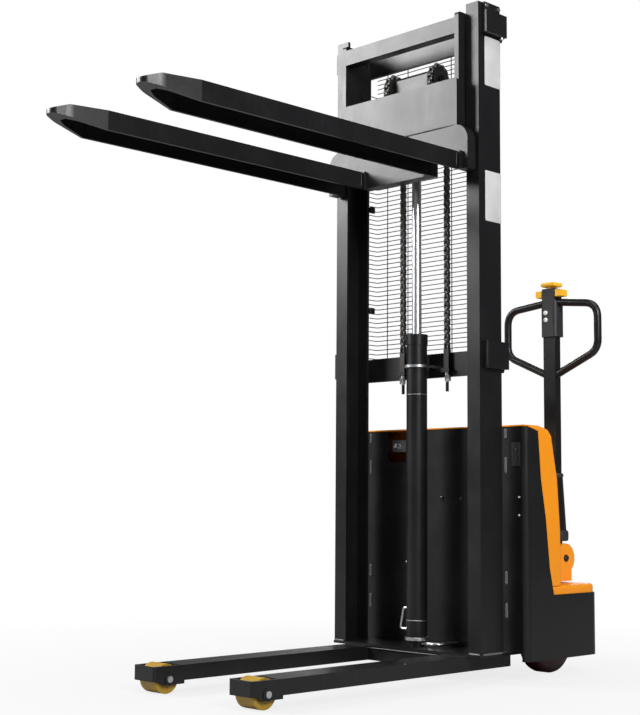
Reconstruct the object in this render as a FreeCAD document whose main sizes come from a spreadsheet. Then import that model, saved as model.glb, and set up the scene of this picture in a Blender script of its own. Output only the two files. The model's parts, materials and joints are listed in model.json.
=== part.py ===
"""Walkie stacker: a straddle-leg pallet lifter with a single mast, built piece by piece.

Frame: X across the machine, the forks point to -Y, +Z is up, the origin is on the floor
under the middle of the whole machine. Lengths are millimetres. The forks stand raised.
Each piece is drawn about the mast's centre line, and keep() moves it into that frame,
because the handle reaches further out than the body does.
"""
import FreeCAD, Part
import math
import os
import re
import Sketcher
from FreeCAD import Vector

# ---------------------------------------------------------------- driving dimensions
SIZES = {
    # reach of the whole machine, from the mast's front face
    "fork_reach": 1192, "body_rear": 516,
    # mast
    "mast_width": 598, "mast_depth": 104, "mast_top": 2041, "flange_width": 48, "flange_wall": 10,
    "web_wall": 9, "beam_wall": 12, "top_beam_low": 1936, "top_beam_tall": 62,
    "mid_beam_low": 913, "mid_beam_tall": 75, "bracket_wide": 20, "bracket_reach": 100,
    "bracket_inset": 15, "top_bracket_low": 1946, "top_bracket_tall": 68, "mid_bracket_low": 922,
    "mid_bracket_tall": 81, "cap_wide": 12, "cap_tall": 26,
    # forks and carriage
    "fork_top": 1572, "fork_low_top": 94, "fork_tall": 54, "fork_wide": 126, "fork_spacing": 394,
    "fork_wall": 8, "taper_length": 149, "nose_length": 42, "nose_wide": 78, "nose_tall": 25, "nose_drop": 13,
    "cheek_wall": 12, "cheek_reach": 12, "carriage_front": 45, "carriage_gap": 7, "shoulder_wide": 584,
    "shoulder_top": 1657, "shoulder_round": 50, "apron_wide": 502, "apron_top": 1803, "apron_wall": 14,
    "plate_outer": 494, "plate_wall": 16, "plate_top": 2014, "plate_reach": 90, "horn_reach": 15,
    "bar_low": 1948, "bar_tall": 50, "bar_deep": 37, "leg_notch_room": 8,
    # mast rollers
    "mast_roller_radius": 41.5, "mast_roller_wide": 32, "low_roller_height": 1616,
    "roller_pitch": 244, "roller_pin_radius": 12, "running_gap": 0.05,
    # lift
    "lift_axis": 58, "tube_radius": 32.5, "tube_bore": 25, "tube_low": 112, "tube_top": 1015,
    "gland_radius": 34.5, "gland_tall": 32, "rod_radius": 15, "rod_travel_up": 14,
    "piston_tall": 40, "foot_radius": 22, "ring_tall": 9, "ring_radius": 36,
    "sheave_top": 1896, "sheave_radius": 33, "sheave_rim": 3.5, "sheave_wide": 18, "chain_spread": 184,
    "chain_wide": 13, "chain_thick": 10, "axle_radius": 12, "crosshead_wide": 150,
    "crosshead_deep": 40, "crosshead_tall": 54, "chain_gap": 0.4,
    # straddle legs and load rollers
    "leg_top": 76, "leg_tall": 42, "leg_wide": 94, "leg_spacing": 398, "leg_wall": 6, "leg_rear": 206,
    "leg_front": 733, "housing_front": 838, "housing_low": 36, "heel_low": 25, "load_axle_reach": 785,
    "load_roller_radius": 40.5, "load_roller_wide": 66, "load_axle_radius": 9, "boss_radius": 17,
    "base_plate_wall": 8,
    # body
    "body_wide": 710, "body_front": 147, "body_top": 752, "sheet_wall": 4, "bend_radius": 20,
    "skirt_low": 58, "skirt_top": 249, "hood_wall": 4, "hood_top": 758, "hood_gap": 2,
    "hood_foot": 335, "deck_top": 275, "deck_front": 205, "corner_radius": 34, "floor_low": 224,
    "floor_wall": 8, "notch_left": 204, "notch_right": 126, "notch_low": 653,
    # steering, tiller and drive
    "steer_side": 234, "steer_rear": 398, "drive_radius": 105, "drive_wide": 70, "tilt_offset": 50,
    "tilt_height": 352, "neck_radius": 50, "boss_wide": 92, "tilt_boss_radius": 46,
    "arm_wide": 46, "arm_deep": 28, "arm_top": 1100, "boot_top": 616, "head_low": 1056,
    "head_tall": 116, "head_wide": 60, "head_deep": 48, "loop_wide": 352, "loop_tube": 12,
    "loop_top": 1170, "loop_low": 925, "cap_top": 1232,
    # caster
    "caster_side": 234, "caster_radius": 62, "caster_wide": 48, "caster_trail": 32,
    # guard
    "guard_wide": 502, "guard_low": 991, "guard_top": 1946, "guard_pitch": 15, "wire": 3,
    "guard_rear": 144,
}
# Places that follow from the driving dimensions.
PLACES = {
    "face": "(fork_reach - body_rear) / 2",
    "half_mast": "mast_width / 2",
    "half_body": "body_wide / 2",
    "foot_top": "leg_top + base_plate_wall",
    "leg_low": "leg_top - leg_tall",
    "fork_low": "fork_top - fork_tall",
    "lift_y": "face + lift_axis",
    "pitch_radius": "sheave_radius + chain_gap + chain_thick / 2",
    "sheave_high": "sheave_top - sheave_radius - chain_gap - chain_thick",
    "steer_y": "face + steer_rear",
    "tilt_y": "face + steer_rear + tilt_offset",
    "half_chain": "chain_spread / 2",
    "panel_y": "face + body_front",
    "hood_side": "body_wide / 2 - sheet_wall - hood_gap",
    "rear_y": "face + body_rear",
    "skirt_y": "face + body_rear - corner_radius - 4",
    "shift": "(half_body - steer_side - loop_wide / 2 - loop_tube) / 2",
}

doc = FreeCAD.newDocument("walkie_stacker")
sheet = doc.addObject("Spreadsheet::Sheet", "sizes")
for row, (alias, number) in enumerate(SIZES.items(), start=1):
    sheet.set("A%d" % row, alias)
    sheet.set("B%d" % row, str(number))
    sheet.setAlias("B%d" % row, alias)
doc.recompute()

places = doc.addObject("App::FeaturePython", "places")
HOLDERS = {alias: "sizes." + alias for alias in SIZES}


def bound(formula):
    """Point every plain name in a formula at the cell or the place that holds it."""
    return re.sub(r"[a-z][a-z_]*", lambda word: HOLDERS.get(word.group(), word.group()), str(formula))


for place, formula in PLACES.items():
    places.addProperty("App::PropertyFloat", place)
    places.setExpression(place, bound(formula))
    HOLDERS[place] = "places." + place
    doc.recompute()

probe = doc.addObject("App::FeaturePython", "probe")
probe.addProperty("App::PropertyFloat", "reading")


def size(formula):
    """The number that a formula of sizes and places stands for now."""
    probe.setExpression("reading", bound(formula))
    probe.recompute()
    return probe.reading


# ---------------------------------------------------------------- ways of making a piece
nodes = []


def keep(item, label):
    """Name a finished sub-part, move it from the mast's centre line, and list it."""
    moved = doc.addObject("Part::Compound", "node_" + label)
    moved.Links = [item]
    moved.setExpression("Placement.Base.x", bound("shift"))
    moved.Label = label
    nodes.append(moved)
    return item


def at(item, x, y, z):
    """Bind a placement's base to three formulas."""
    for axis, formula in zip("xyz", (x, y, z)):
        item.setExpression("Placement.Base." + axis, bound(formula))
    return item


def block(name, x, y, z):
    """A box between two formulas along each axis."""
    item = doc.addObject("Part::Box", name)
    for side, (low, high) in zip(("Length", "Width", "Height"), (x, y, z)):
        item.setExpression(side, bound("(%s) - (%s)" % (high, low)))
    return at(item, x[0], y[0], z[0])


TURNS = {"x": (Vector(0, 1, 0), 90), "y": (Vector(1, 0, 0), -90), "z": (Vector(0, 0, 1), 0)}


def round_bar(name, axis, start, radius, length):
    """A cylinder that starts at a point and runs along +X, +Y or +Z."""
    item = doc.addObject("Part::Cylinder", name)
    item.setExpression("Radius", bound(radius))
    item.setExpression("Height", bound(length))
    item.Placement.Rotation = FreeCAD.Rotation(*TURNS[axis])
    return at(item, *start)


def less(name, base, *tools):
    """A piece with other shapes cut out of it."""
    item = doc.addObject("Part::Cut", name)
    item.Base = base
    item.Tool = tools[0] if len(tools) == 1 else joined(name + "_tools", *tools)
    return item


def joined(name, *parts):
    """Several shapes fused to one."""
    item = doc.addObject("Part::MultiFuse", name)
    item.Shapes = list(parts)
    return item


def shared(name, *parts):
    """What several shapes have in common."""
    item = doc.addObject("Part::MultiCommon", name)
    item.Shapes = list(parts)
    return item


def grouped(name, *parts):
    """Separate solids that share one node."""
    item = doc.addObject("Part::Compound", name)
    item.Links = list(parts)
    return item


def plate(name, plane, outline, low, high):
    """A body padded from an outline of straight lines.

    plane XY pads from z low to high, YZ from x low to high. Each corner of the outline is a
    pair of formulas, and both of its coordinates are constraints bound to the sheet.
    """
    body = doc.addObject("PartDesign::Body", name)
    sketch = body.newObject("Sketcher::SketchObject", name + "_sketch")
    base = [item for item in body.Origin.OriginFeatures if item.Role == plane + "_Plane"][0]
    sketch.AttachmentSupport = (base, "")
    sketch.MapMode = "FlatFace"
    corners = [(size(a), size(b)) for a, b in outline]
    count = len(corners)
    for index, (a, b) in enumerate(corners):
        c, d = corners[(index + 1) % count]
        sketch.addGeometry(Part.LineSegment(Vector(a, b, 0), Vector(c, d, 0)), False)
    for index in range(count):
        sketch.addConstraint(Sketcher.Constraint("Coincident", index, 2, (index + 1) % count, 1))
    for index, corner in enumerate(outline):
        for kind, formula in zip(("DistanceX", "DistanceY"), corner):
            link = Sketcher.Constraint(kind, -1, 1, index, 1, size(formula))
            sketch.setExpression("Constraints[%d]" % sketch.addConstraint(link), bound(formula))
    sketch.setExpression("AttachmentOffset.Base.z", bound(low))
    pad = body.newObject("PartDesign::Pad", name + "_pad")
    pad.Profile = sketch
    pad.setExpression("Length", bound("(%s) - (%s)" % (high, low)))
    doc.recompute()
    return body


def rounded(body, radius, wanted):
    """Round the edges of a body whose middle passes a test."""
    tip = body.Tip
    picked = ["Edge%d" % number for number, edge in enumerate(tip.Shape.Edges, start=1)
              if wanted(edge)]
    fillet = body.newObject("PartDesign::Fillet", body.Name + "_round_%d" % len(body.Group))
    fillet.Base = (tip, picked)
    fillet.setExpression("Radius", bound(radius))
    body.Tip = fillet
    doc.recompute()
    return body


def along(edge, axis):
    """True where a straight edge runs along X, Y or Z."""
    ends = [vertex.Point for vertex in edge.Vertexes]
    if len(ends) != 2 or edge.Curve.TypeId != "Part::GeomLine":
        return False
    step = ends[1] - ends[0]
    return abs(abs(getattr(step, axis)) - step.Length) < 1e-6


def middle(edge):
    return edge.BoundBox.Center


def both_sides(make):
    """Make a thing for the -X side and for the +X side."""
    return [make(side, sign) for side, sign in (("left", "-1"), ("right", "1"))]


def across(sign, low, high):
    """A span of X on one side, given as distances from the middle."""
    if sign == "1":
        return (low, high)
    return ("-(%s)" % high, "-(%s)" % low)


# ---------------------------------------------------------------- mast
def make_upright(side, sign):
    def x(distance):
        return "%s * (%s)" % (sign, distance)
    outer, inner = x("half_mast"), x("half_mast - flange_width")
    web = x("half_mast - web_wall")
    front, rear = "face", "face + mast_depth"
    outline = [(outer, front), (outer, rear), (inner, rear), (inner, rear + " - flange_wall"),
               (web, rear + " - flange_wall"), (web, front + " + flange_wall"),
               (inner, front + " + flange_wall"), (inner, front)]
    return keep(plate("upright_" + side, "XY", outline, "foot_top", "mast_top"),
                "mast_upright_" + side)


both_sides(make_upright)
beam_y = ("face + mast_depth", "face + mast_depth + beam_wall")
keep(block("top_beam", ("-half_mast", "half_mast"), beam_y,
           ("top_beam_low", "top_beam_low + top_beam_tall")), "top_crossbeam")


def make_chain_shelf(side, sign):
    """A bracket on the middle beam that one chain anchor hangs from."""
    reach = ("lift_y + pitch_radius - 12", "face + mast_depth")
    shelf = block("shelf_" + side, across(sign, "half_chain - 16", "half_chain + 16"), reach,
                  ("mid_beam_low + 14", "mid_beam_low + 26"))
    bore = round_bar("shelf_bore_" + side, "z", (sign + " * half_chain", "lift_y + pitch_radius",
                     "mid_beam_low"), "5", "60")
    return less("shelf_cut_" + side, shelf, bore)


mid_beam = block("mid_beam", ("-half_mast", "half_mast"), beam_y,
                 ("mid_beam_low", "mid_beam_low + mid_beam_tall"))
keep(joined("mid_crossbeam_weld", mid_beam, *both_sides(make_chain_shelf)), "mid_crossbeam")


def make_brackets(side, sign):
    """Two blocks on the upright's outer face that hold the ends of the cross beams."""
    reach = ("face + bracket_inset", "face + bracket_inset + bracket_reach")
    wide = across(sign, "half_mast", "half_mast + bracket_wide")
    upper = block("upper_bracket_" + side, wide, reach,
                  ("top_bracket_low", "top_bracket_low + top_bracket_tall"))
    lid = block("bracket_lid_" + side, across(sign, "half_mast", "half_mast + cap_wide"),
                ("face + bracket_inset", "face + bracket_inset + 75"),
                ("top_bracket_low + top_bracket_tall", "top_bracket_low + top_bracket_tall + cap_tall"))
    lower = block("lower_bracket_" + side, wide, reach,
                  ("mid_bracket_low", "mid_bracket_low + mid_bracket_tall"))
    return grouped("brackets_" + side, joined("upper_block_" + side, upper, lid), lower)


keep(grouped("bracket_set", *both_sides(make_brackets)), "mast_brackets")


def make_bracket_bolts(side, sign):
    """Two bolt heads on the lid's outer face, and one under the upper bracket."""
    start = "half_mast + cap_wide" if sign == "1" else "-(half_mast + cap_wide) - 5"
    high = "top_bracket_low + top_bracket_tall + 14"
    bolts = [round_bar("lid_bolt_%s_%d" % (side, number), "x",
                       (start, "face + bracket_inset + " + back, high), "6", "5")
             for number, back in enumerate(("8", "66"))]
    under = (sign + " * (half_mast + bracket_wide / 2)", "face + bracket_inset + bracket_reach - 14",
             "top_bracket_low - 6")
    bolts.append(round_bar("under_bolt_" + side, "z", under, "6", "6"))
    return grouped("bolts_" + side, *bolts)


keep(grouped("bracket_bolt_set", *both_sides(make_bracket_bolts)), "bracket_bolts")

# ---------------------------------------------------------------- mesh guard
def make_guard():
    """Level wires with forward returns at both ends, welded over upright wires."""
    half, wire = size("guard_wide / 2"), size("wire")
    rear, front = size("face + guard_rear"), size("face + mast_depth")
    low, high, pitch = size("guard_low"), size("guard_top"), size("guard_pitch")
    rods = []
    for x in [half * share for share in (-1, -0.8, -0.44, 0, 0.3, 0.62, 1)]:
        left = min(max(x - wire / 2, -half), half - wire)
        rods.append(Part.makeBox(wire, wire, high - low, Vector(left, rear - wire, low)))
    count = int((high - low - wire) / pitch) + 1
    for number in range(count):
        z = low + number * pitch
        rods.append(Part.makeBox(2 * half, wire, wire, Vector(-half, rear - wire, z)))
        if z + wire < size("top_beam_low"):
            for x in (-half, half - wire):
                rods.append(Part.makeBox(wire, rear - front, wire, Vector(x, front, z)))
    return rods[0].multiFuse(rods[1:]).removeSplitter()


guard = doc.addObject("Part::Feature", "guard")
guard.Shape = make_guard()
keep(guard, "mesh_guard")

# ---------------------------------------------------------------- straddle legs
def make_leg(side, sign):
    centre = sign + " * leg_spacing / 2"
    wide = (centre + " - leg_wide / 2", centre + " + leg_wide / 2")
    hollow = (centre + " - leg_wide / 2 + leg_wall", centre + " + leg_wide / 2 - leg_wall")
    outer = block("leg_outer_" + side, wide, ("face - leg_front", "face + leg_rear"),
                  ("leg_low", "leg_top"))
    inner = block("leg_inner_" + side, hollow,
                  ("face - leg_front - 1", "face + leg_rear - leg_wall"),
                  ("leg_low + leg_wall", "leg_top - leg_wall"))
    return keep(less("leg_" + side, outer, inner), "straddle_leg_" + side)


both_sides(make_leg)


def make_housing(side, sign):
    """The open-topped fork round a load roller: a rounded nose, two cheeks and a stepped heel."""
    centre = sign + " * leg_spacing / 2"
    near, far = "face - leg_front", "face - housing_front"
    outline = [(far, "housing_low"), (far, "leg_top"), (near, "leg_top"), (near, "heel_low"),
               ("face - load_axle_reach - 20", "heel_low"),
               ("face - load_axle_reach - 34", "housing_low")]
    body = plate("housing_" + side, "YZ", outline, centre + " - leg_wide / 2",
                 centre + " + leg_wide / 2")
    rounded(body, "10", lambda edge: along(edge, "z") and middle(edge).y < size(far) + 1)
    well = block("well_" + side, (centre + " - load_roller_wide / 2 - 2",
                                  centre + " + load_roller_wide / 2 + 2"),
                 (far + " + 7", "face - load_axle_reach + load_roller_radius + 3"), ("0", "leg_top + 10"))
    boss = round_bar("boss_" + side, "x", (centre + " - leg_wide / 2 - 2",
                     "face - load_axle_reach", "load_roller_radius"), "boss_radius", "leg_wide + 4")
    gap = "load_roller_wide + 4"
    core = round_bar("boss_core_" + side, "x", (centre + " - (%s) / 2" % gap,
                     "face - load_axle_reach", "load_roller_radius"), "boss_radius + 1", gap)
    bore = round_bar("housing_bore_" + side, "x", (centre + " - leg_wide",
                     "face - load_axle_reach", "load_roller_radius"), "load_axle_radius", "2 * leg_wide")
    return less("housing_cut_" + side, joined("housing_weld_" + side, less("housing_well_" + side,
                body, well), less("boss_ring_" + side, boss, core)), bore)


keep(grouped("housing_set", *both_sides(make_housing)), "wheel_housings")
axles = both_sides(lambda side, sign: round_bar(
    "load_axle_" + side, "x", (sign + " * leg_spacing / 2 - leg_wide / 2 - 4",
    "face - load_axle_reach", "load_roller_radius"), "load_axle_radius", "leg_wide + 8"))
keep(grouped("load_axle_set", *axles), "load_axles")


def make_load_roller(side, sign):
    start = (sign + " * leg_spacing / 2 - load_roller_wide / 2", "face - load_axle_reach",
             "load_roller_radius")
    tread = round_bar("load_tread_" + side, "x", start, "load_roller_radius", "load_roller_wide")
    bore = round_bar("load_bore_" + side, "x", start, "load_axle_radius + running_gap",
                     "load_roller_wide")
    return keep(less("load_roller_cut_" + side, tread, bore), "load_roller_" + side)


both_sides(make_load_roller)
inner_leg = "leg_spacing / 2 - leg_wide / 2"
tie = block("base_tie", ("-(%s)" % inner_leg, inner_leg), ("face", "face + leg_rear"),
            ("leg_low", "leg_top"))
foot_plate = block("base_plate", ("-half_mast", "half_mast"), ("face - 4", "face + leg_rear"),
                   ("leg_top", "foot_top"))
keep(joined("base_weld", tie, foot_plate), "base_crossmember")

# ---------------------------------------------------------------- lift cylinder
tube = round_bar("tube", "z", ("0", "lift_y", "tube_low"), "tube_radius", "tube_top - tube_low")
tube_bore = round_bar("tube_hole", "z", ("0", "lift_y", "tube_low + 12"), "tube_bore",
                      "tube_top - tube_low")
ring = round_bar("foot_ring", "z", ("0", "lift_y", "tube_low - ring_tall"), "ring_radius", "ring_tall")
foot = round_bar("foot_post", "z", ("0", "lift_y", "foot_top"), "foot_radius",
                 "tube_low - foot_top")
keep(less("cylinder_cut", joined("cylinder_weld", tube, ring, foot), tube_bore), "lift_cylinder")
gland = round_bar("gland", "z", ("0", "lift_y", "tube_top"), "gland_radius", "gland_tall")
gland_hole = round_bar("gland_hole", "z", ("0", "lift_y", "tube_top - 1"),
                       "rod_radius + running_gap", "gland_tall + 2")
keep(less("gland_cut", gland, gland_hole), "gland_nut")
strap_in, strap_out = "tube_radius + 0.4", "tube_radius + 6"
strap_z = ("mid_beam_low + 30", "mid_beam_low + 38")
strap_ring = round_bar("strap_ring", "z", ("0", "lift_y", strap_z[0]), strap_out, "8")
strap_hole = round_bar("strap_hole", "z", ("0", "lift_y", strap_z[0] + " - 1"), strap_in, "10")
strap_arms = both_sides(lambda side, sign: block(
    "strap_arm_" + side, across(sign, strap_in, strap_out), ("lift_y", "face + mast_depth"), strap_z))
strap_rear = block("strap_rear", ("-(%s)" % strap_in, strap_in), ("lift_y", "lift_y + tube_radius + 8"),
                   (strap_z[0] + " - 1", strap_z[1] + " + 1"))
keep(joined("strap_weld", less("strap_half", strap_ring, strap_hole, strap_rear), *strap_arms),
     "cylinder_strap")
pipe_radius = 4.5


def bent_pipe(points, bend, radius):
    """A pipe along straight runs joined by tangent arcs of one bend radius."""
    edges = []
    start = points[0]
    for before, corner, after in zip(points, points[1:], points[2:]):
        towards, away = (before - corner).normalize(), (after - corner).normalize()
        half = towards.getAngle(away) / 2
        trim = bend / math.tan(half)
        first, last = corner + towards * trim, corner + away * trim
        centre = corner + (towards + away).normalize() * (bend / math.sin(half))
        crown = centre + (corner - centre).normalize() * bend
        edges.append(Part.LineSegment(start, first).toShape())
        edges.append(Part.Arc(first, crown, last).toShape())
        start = last
    edges.append(Part.LineSegment(start, points[-1]).toShape())
    path = Part.Wire(edges)
    ring = Part.Wire([Part.makeCircle(radius, points[0], points[1] - points[0])])
    return path.makePipeShell([ring], True, False)


axis_y, tube_side = size("lift_y"), size("tube_radius")
bleed_top, bleed_low = size("tube_low + 86"), size("tube_low + 22")
bleed = bent_pipe([Vector(-tube_side, axis_y, bleed_top), Vector(-tube_side - 20, axis_y, bleed_top),
                   Vector(-tube_side - 34, axis_y, bleed_low),
                   Vector(-tube_side, axis_y, bleed_low)], 7, pipe_radius)
feed_z = size("foot_top + 10")
feed = bent_pipe([Vector(size("foot_radius"), axis_y, feed_z), Vector(86, axis_y, feed_z),
                  Vector(86, size("panel_y"), feed_z)], 24, pipe_radius + 1)
pipes = doc.addObject("Part::Feature", "pipes")
pipes.Shape = Part.makeCompound([bleed, feed])
keep(pipes, "hydraulic_pipes")

# ---------------------------------------------------------------- lift rod, crosshead, chains
rod_low = "tube_top - 50 - piston_tall"
rod_bar = round_bar("rod_bar", "z", ("0", "lift_y", rod_low + " + piston_tall"), "rod_radius",
                    "sheave_high - crosshead_tall / 2 - (%s) - piston_tall" % rod_low)
piston = round_bar("piston", "z", ("0", "lift_y", rod_low), "tube_bore - running_gap", "piston_tall")
keep(joined("rod_weld", rod_bar, piston), "lift_rod")
head = plate("crosshead_plate", "XY", [("-crosshead_wide / 2", "lift_y - crosshead_deep / 2"),
             ("crosshead_wide / 2", "lift_y - crosshead_deep / 2"),
             ("crosshead_wide / 2", "lift_y + crosshead_deep / 2"),
             ("-crosshead_wide / 2", "lift_y + crosshead_deep / 2")],
             "sheave_high - crosshead_tall / 2", "sheave_high + crosshead_tall / 2")
rounded(head, "6", lambda edge: along(edge, "z") or along(edge, "x"))
shaft = round_bar("sheave_shaft", "x", ("-(half_chain + sheave_wide / 2 + 5)", "lift_y", "sheave_high"),
                  "axle_radius", "2 * (half_chain + sheave_wide / 2 + 5)")
keep(joined("crosshead_weld", head, shaft), "crosshead")


def make_sheave(side, sign):
    start = sign + " * half_chain - sheave_wide / 2"
    disc = round_bar("sheave_disc_" + side, "x", (start, "lift_y", "sheave_high"),
                     "sheave_radius", "sheave_wide")
    rims = [round_bar("sheave_rim_%s_%d" % (side, number), "x",
                      (start + shift, "lift_y", "sheave_high"), "sheave_radius + sheave_rim", "2")
            for number, shift in enumerate(("", " + sheave_wide - 2"))]
    bore = round_bar("sheave_bore_" + side, "x", (start, "lift_y", "sheave_high"),
                     "axle_radius + running_gap", "sheave_wide")
    return keep(less("sheave_cut_" + side, joined("sheave_weld_" + side, disc, *rims), bore),
                "sheave_" + side)


both_sides(make_sheave)
chain_x = {side: (sign + " * half_chain - chain_wide / 2", sign + " * half_chain + chain_wide / 2")
           for side, sign in (("left", "-1"), ("right", "1"))}
run_low, run_high = "pitch_radius - chain_thick / 2", "pitch_radius + chain_thick / 2"


def make_wrap(side, sign):
    start = (chain_x[side][0], "lift_y", "sheave_high")
    band = round_bar("wrap_band_" + side, "x", start, run_high, "chain_wide")
    core = round_bar("wrap_core_" + side, "x", start, run_low, "chain_wide")
    lower = block("wrap_lower_" + side, chain_x[side], ("lift_y - 60", "lift_y + 60"),
                  ("sheave_high - 60", "sheave_high"))
    return less("wrap_" + side, band, core, lower)


keep(grouped("wrap_set", *both_sides(make_wrap)), "chain_wraps")
clevis_top = "mid_beam_low + mid_beam_tall + 12"
keep(grouped("rear_run_set", *both_sides(lambda side, sign: block(
    "rear_run_" + side, chain_x[side], ("lift_y + " + run_low, "lift_y + " + run_high),
    (clevis_top, "sheave_high")))), "chain_rear_runs")
lug_top = "apron_top - 96"
keep(grouped("front_run_set", *both_sides(lambda side, sign: block(
    "front_run_" + side, chain_x[side], ("lift_y - (%s)" % run_high, "lift_y - (%s)" % run_low),
    (lug_top, "sheave_high")))), "chain_front_runs")


def make_anchor(side, sign):
    """A forked bolt that holds the chain's end, with two nuts under its shelf."""
    centre = (sign + " * half_chain", "lift_y + pitch_radius")
    bolt = round_bar("anchor_bolt_" + side, "z", centre + ("mid_beam_low - 46",), "5",
                     "mid_beam_tall + 16")
    nuts = round_bar("anchor_nuts_" + side, "z", centre + ("mid_beam_low - 12",), "7.5", "26")
    yoke = block("anchor_yoke_" + side, (sign + " * half_chain - 10", sign + " * half_chain + 10"),
                 (centre[1] + " - 6", centre[1] + " + 6"), ("mid_beam_low + 26", clevis_top))
    return joined("anchor_" + side, bolt, nuts, yoke)


keep(grouped("anchor_set", *both_sides(make_anchor)), "chain_anchors")

# ---------------------------------------------------------------- carriage
front_y = "face - carriage_front"


def make_side_plate(side, sign):
    rear = "face + plate_reach"
    outline = [("face - carriage_front + apron_wall", "shoulder_top"),
               ("face - carriage_front + apron_wall", "plate_top"),
               ("face + horn_reach", "plate_top"), ("face + horn_reach", "bar_low + bar_tall + 2"),
               (rear, "bar_low"), (rear, "fork_top + 6"), ("face - carriage_gap", "fork_top + 6"),
               ("face - carriage_gap", "shoulder_top")]
    span = across(sign, "plate_outer / 2 - plate_wall", "plate_outer / 2")
    body = plate("side_plate_" + side, "YZ", outline, *span)
    rounded(body, "10", lambda edge: along(edge, "x") and middle(edge).z > size("plate_top") - 1)
    bores = [round_bar("plate_bore_%s_%d" % (side, number), "x",
                       (span[0], "face + mast_depth / 2", height), "roller_pin_radius", "plate_wall")
             for number, height in enumerate(("low_roller_height", "low_roller_height + roller_pitch"))]
    return less("side_plate_cut_" + side, body, *bores)


keep(grouped("side_plate_set", *both_sides(make_side_plate)), "carriage_side_plates")
inside = "plate_outer / 2 - plate_wall"
keep(block("top_bar", ("-(%s)" % inside, inside), (front_y + " + apron_wall", front_y +
           " + apron_wall + bar_deep"), ("bar_low", "bar_low + bar_tall")), "carriage_top_bar")
apron = plate("apron", "XY", [("-apron_wide / 2", front_y), ("apron_wide / 2", front_y),
              ("apron_wide / 2", front_y + " + apron_wall"),
              ("-apron_wide / 2", front_y + " + apron_wall")], "shoulder_top", "apron_top")
rounded(apron, "10", lambda edge: along(edge, "y") and middle(edge).z > size("apron_top") - 1)
lugs = both_sides(lambda side, sign: block(
    "chain_lug_" + side, (sign + " * half_chain - 14", sign + " * half_chain + 14"),
    (front_y + " + apron_wall", "lift_y - (%s) + 2" % run_low), ("apron_top - 112", lug_top)))
keep(joined("apron_weld", apron, *lugs), "carriage_front_plate")
shoulder = plate("shoulder", "XY", [("-shoulder_wide / 2", front_y), ("shoulder_wide / 2", front_y),
                 ("shoulder_wide / 2", "face - carriage_gap"),
                 ("-shoulder_wide / 2", "face - carriage_gap")], "fork_low", "shoulder_top")
rounded(shoulder, "shoulder_round",
        lambda edge: along(edge, "y") and middle(edge).z > size("shoulder_top") - 1)
notches = both_sides(lambda side, sign: block(
    "leg_notch_" + side, (sign + " * leg_spacing / 2 - leg_wide / 2 - leg_notch_room",
    sign + " * leg_spacing / 2 + leg_wide / 2 + leg_notch_room"),
    (front_y + " - 1", "face"), ("fork_low - 1", "fork_top - fork_wall")))
keep(less("shoulder_cut", shoulder, *notches), "fork_crossmember")


def make_fork(side, sign):
    """A channel that is open below, so that it comes down over its straddle leg."""
    centre = sign + " * fork_spacing / 2"
    tip, taper = "face - fork_reach", "face - fork_reach + taper_length"
    nose = tip + " + nose_length"

    def plan(inset, back, front, nose):
        wide, slim = "(fork_wide / 2 - (%s))" % inset, "(nose_wide / 2 - (%s))" % inset
        return [("%s - %s" % (centre, wide), back), ("%s - %s" % (centre, wide), taper),
                ("%s - %s" % (centre, slim), nose), ("%s - 16 + (%s) / 2" % (centre, inset), front),
                ("%s + 16 - (%s) / 2" % (centre, inset), front), ("%s + %s" % (centre, slim), nose),
                ("%s + %s" % (centre, wide), taper), ("%s + %s" % (centre, wide), back)]
    outer = plate("fork_outer_" + side, "XY", plan("0", front_y, tip, nose), "fork_low", "fork_top")
    rounded(outer, "80", lambda edge: along(edge, "z") and abs(middle(edge).y - size(nose)) < 1)
    rounded(outer, "22", lambda edge: along(edge, "z") and middle(edge).y < size(tip) + 1)
    inner = plate("fork_inner_" + side, "XY",
                  plan("fork_wall", front_y + " + 1", nose + " + 3", nose + " + 30"),
                  "fork_low - 1", "fork_top - fork_wall")
    brow = plate("fork_brow_" + side, "YZ", [(nose, "fork_top"), (nose, "fork_top + 1"),
                 (tip + " - 1", "fork_top + 1"), (tip + " - 1", "fork_top - nose_drop")],
                 centre + " - fork_wide", centre + " + fork_wide")
    ramp = plate("fork_ramp_" + side, "YZ", [(taper, "fork_low - 1"), (taper, "fork_low"),
                 (tip + " - 1", "fork_top - nose_tall"), (tip + " - 1", "fork_low - 1")],
                 centre + " - fork_wide", centre + " + fork_wide")
    cheeks = [block("fork_cheek_%s_%d" % (side, number),
                    (centre + low, centre + high), (front_y + " - cheek_reach", front_y),
                    ("fork_low", "fork_top"))
              for number, (low, high) in enumerate(((" - fork_wide / 2 - cheek_wall", " - fork_wide / 2"),
                                                    (" + fork_wide / 2", " + fork_wide / 2 + cheek_wall")))]
    return keep(joined("fork_weld_" + side, less("fork_cut_" + side, outer, inner, ramp, brow), *cheeks),
                "fork_" + side)


both_sides(make_fork)


def roller_start(sign):
    if sign == "1":
        return "half_mast - web_wall - 3 - mast_roller_wide"
    return "-(half_mast - web_wall - 3)"


def make_mast_rollers(side, sign):
    pins = []
    for level, height in (("lower", "low_roller_height"),
                          ("upper", "low_roller_height + roller_pitch")):
        start = (roller_start(sign), "face + mast_depth / 2", height)
        ring_part = round_bar("roller_%s_%s" % (level, side), "x", start, "mast_roller_radius",
                              "mast_roller_wide")
        hole = round_bar("roller_hole_%s_%s" % (level, side), "x", start,
                         "roller_pin_radius + running_gap", "mast_roller_wide")
        keep(less("roller_cut_%s_%s" % (level, side), ring_part, hole),
             "mast_roller_%s_%s" % (level, side))
        span = across(sign, "plate_outer / 2 - plate_wall - 3", "half_mast - web_wall - 2")
        pins.append(round_bar("roller_pin_%s_%s" % (level, side), "x", (span[0],) + start[1:],
                              "roller_pin_radius", "(%s) - (%s)" % (span[1], span[0])))
    return grouped("pins_" + side, *pins)


keep(grouped("pin_set", *both_sides(make_mast_rollers)), "roller_pins")

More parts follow.
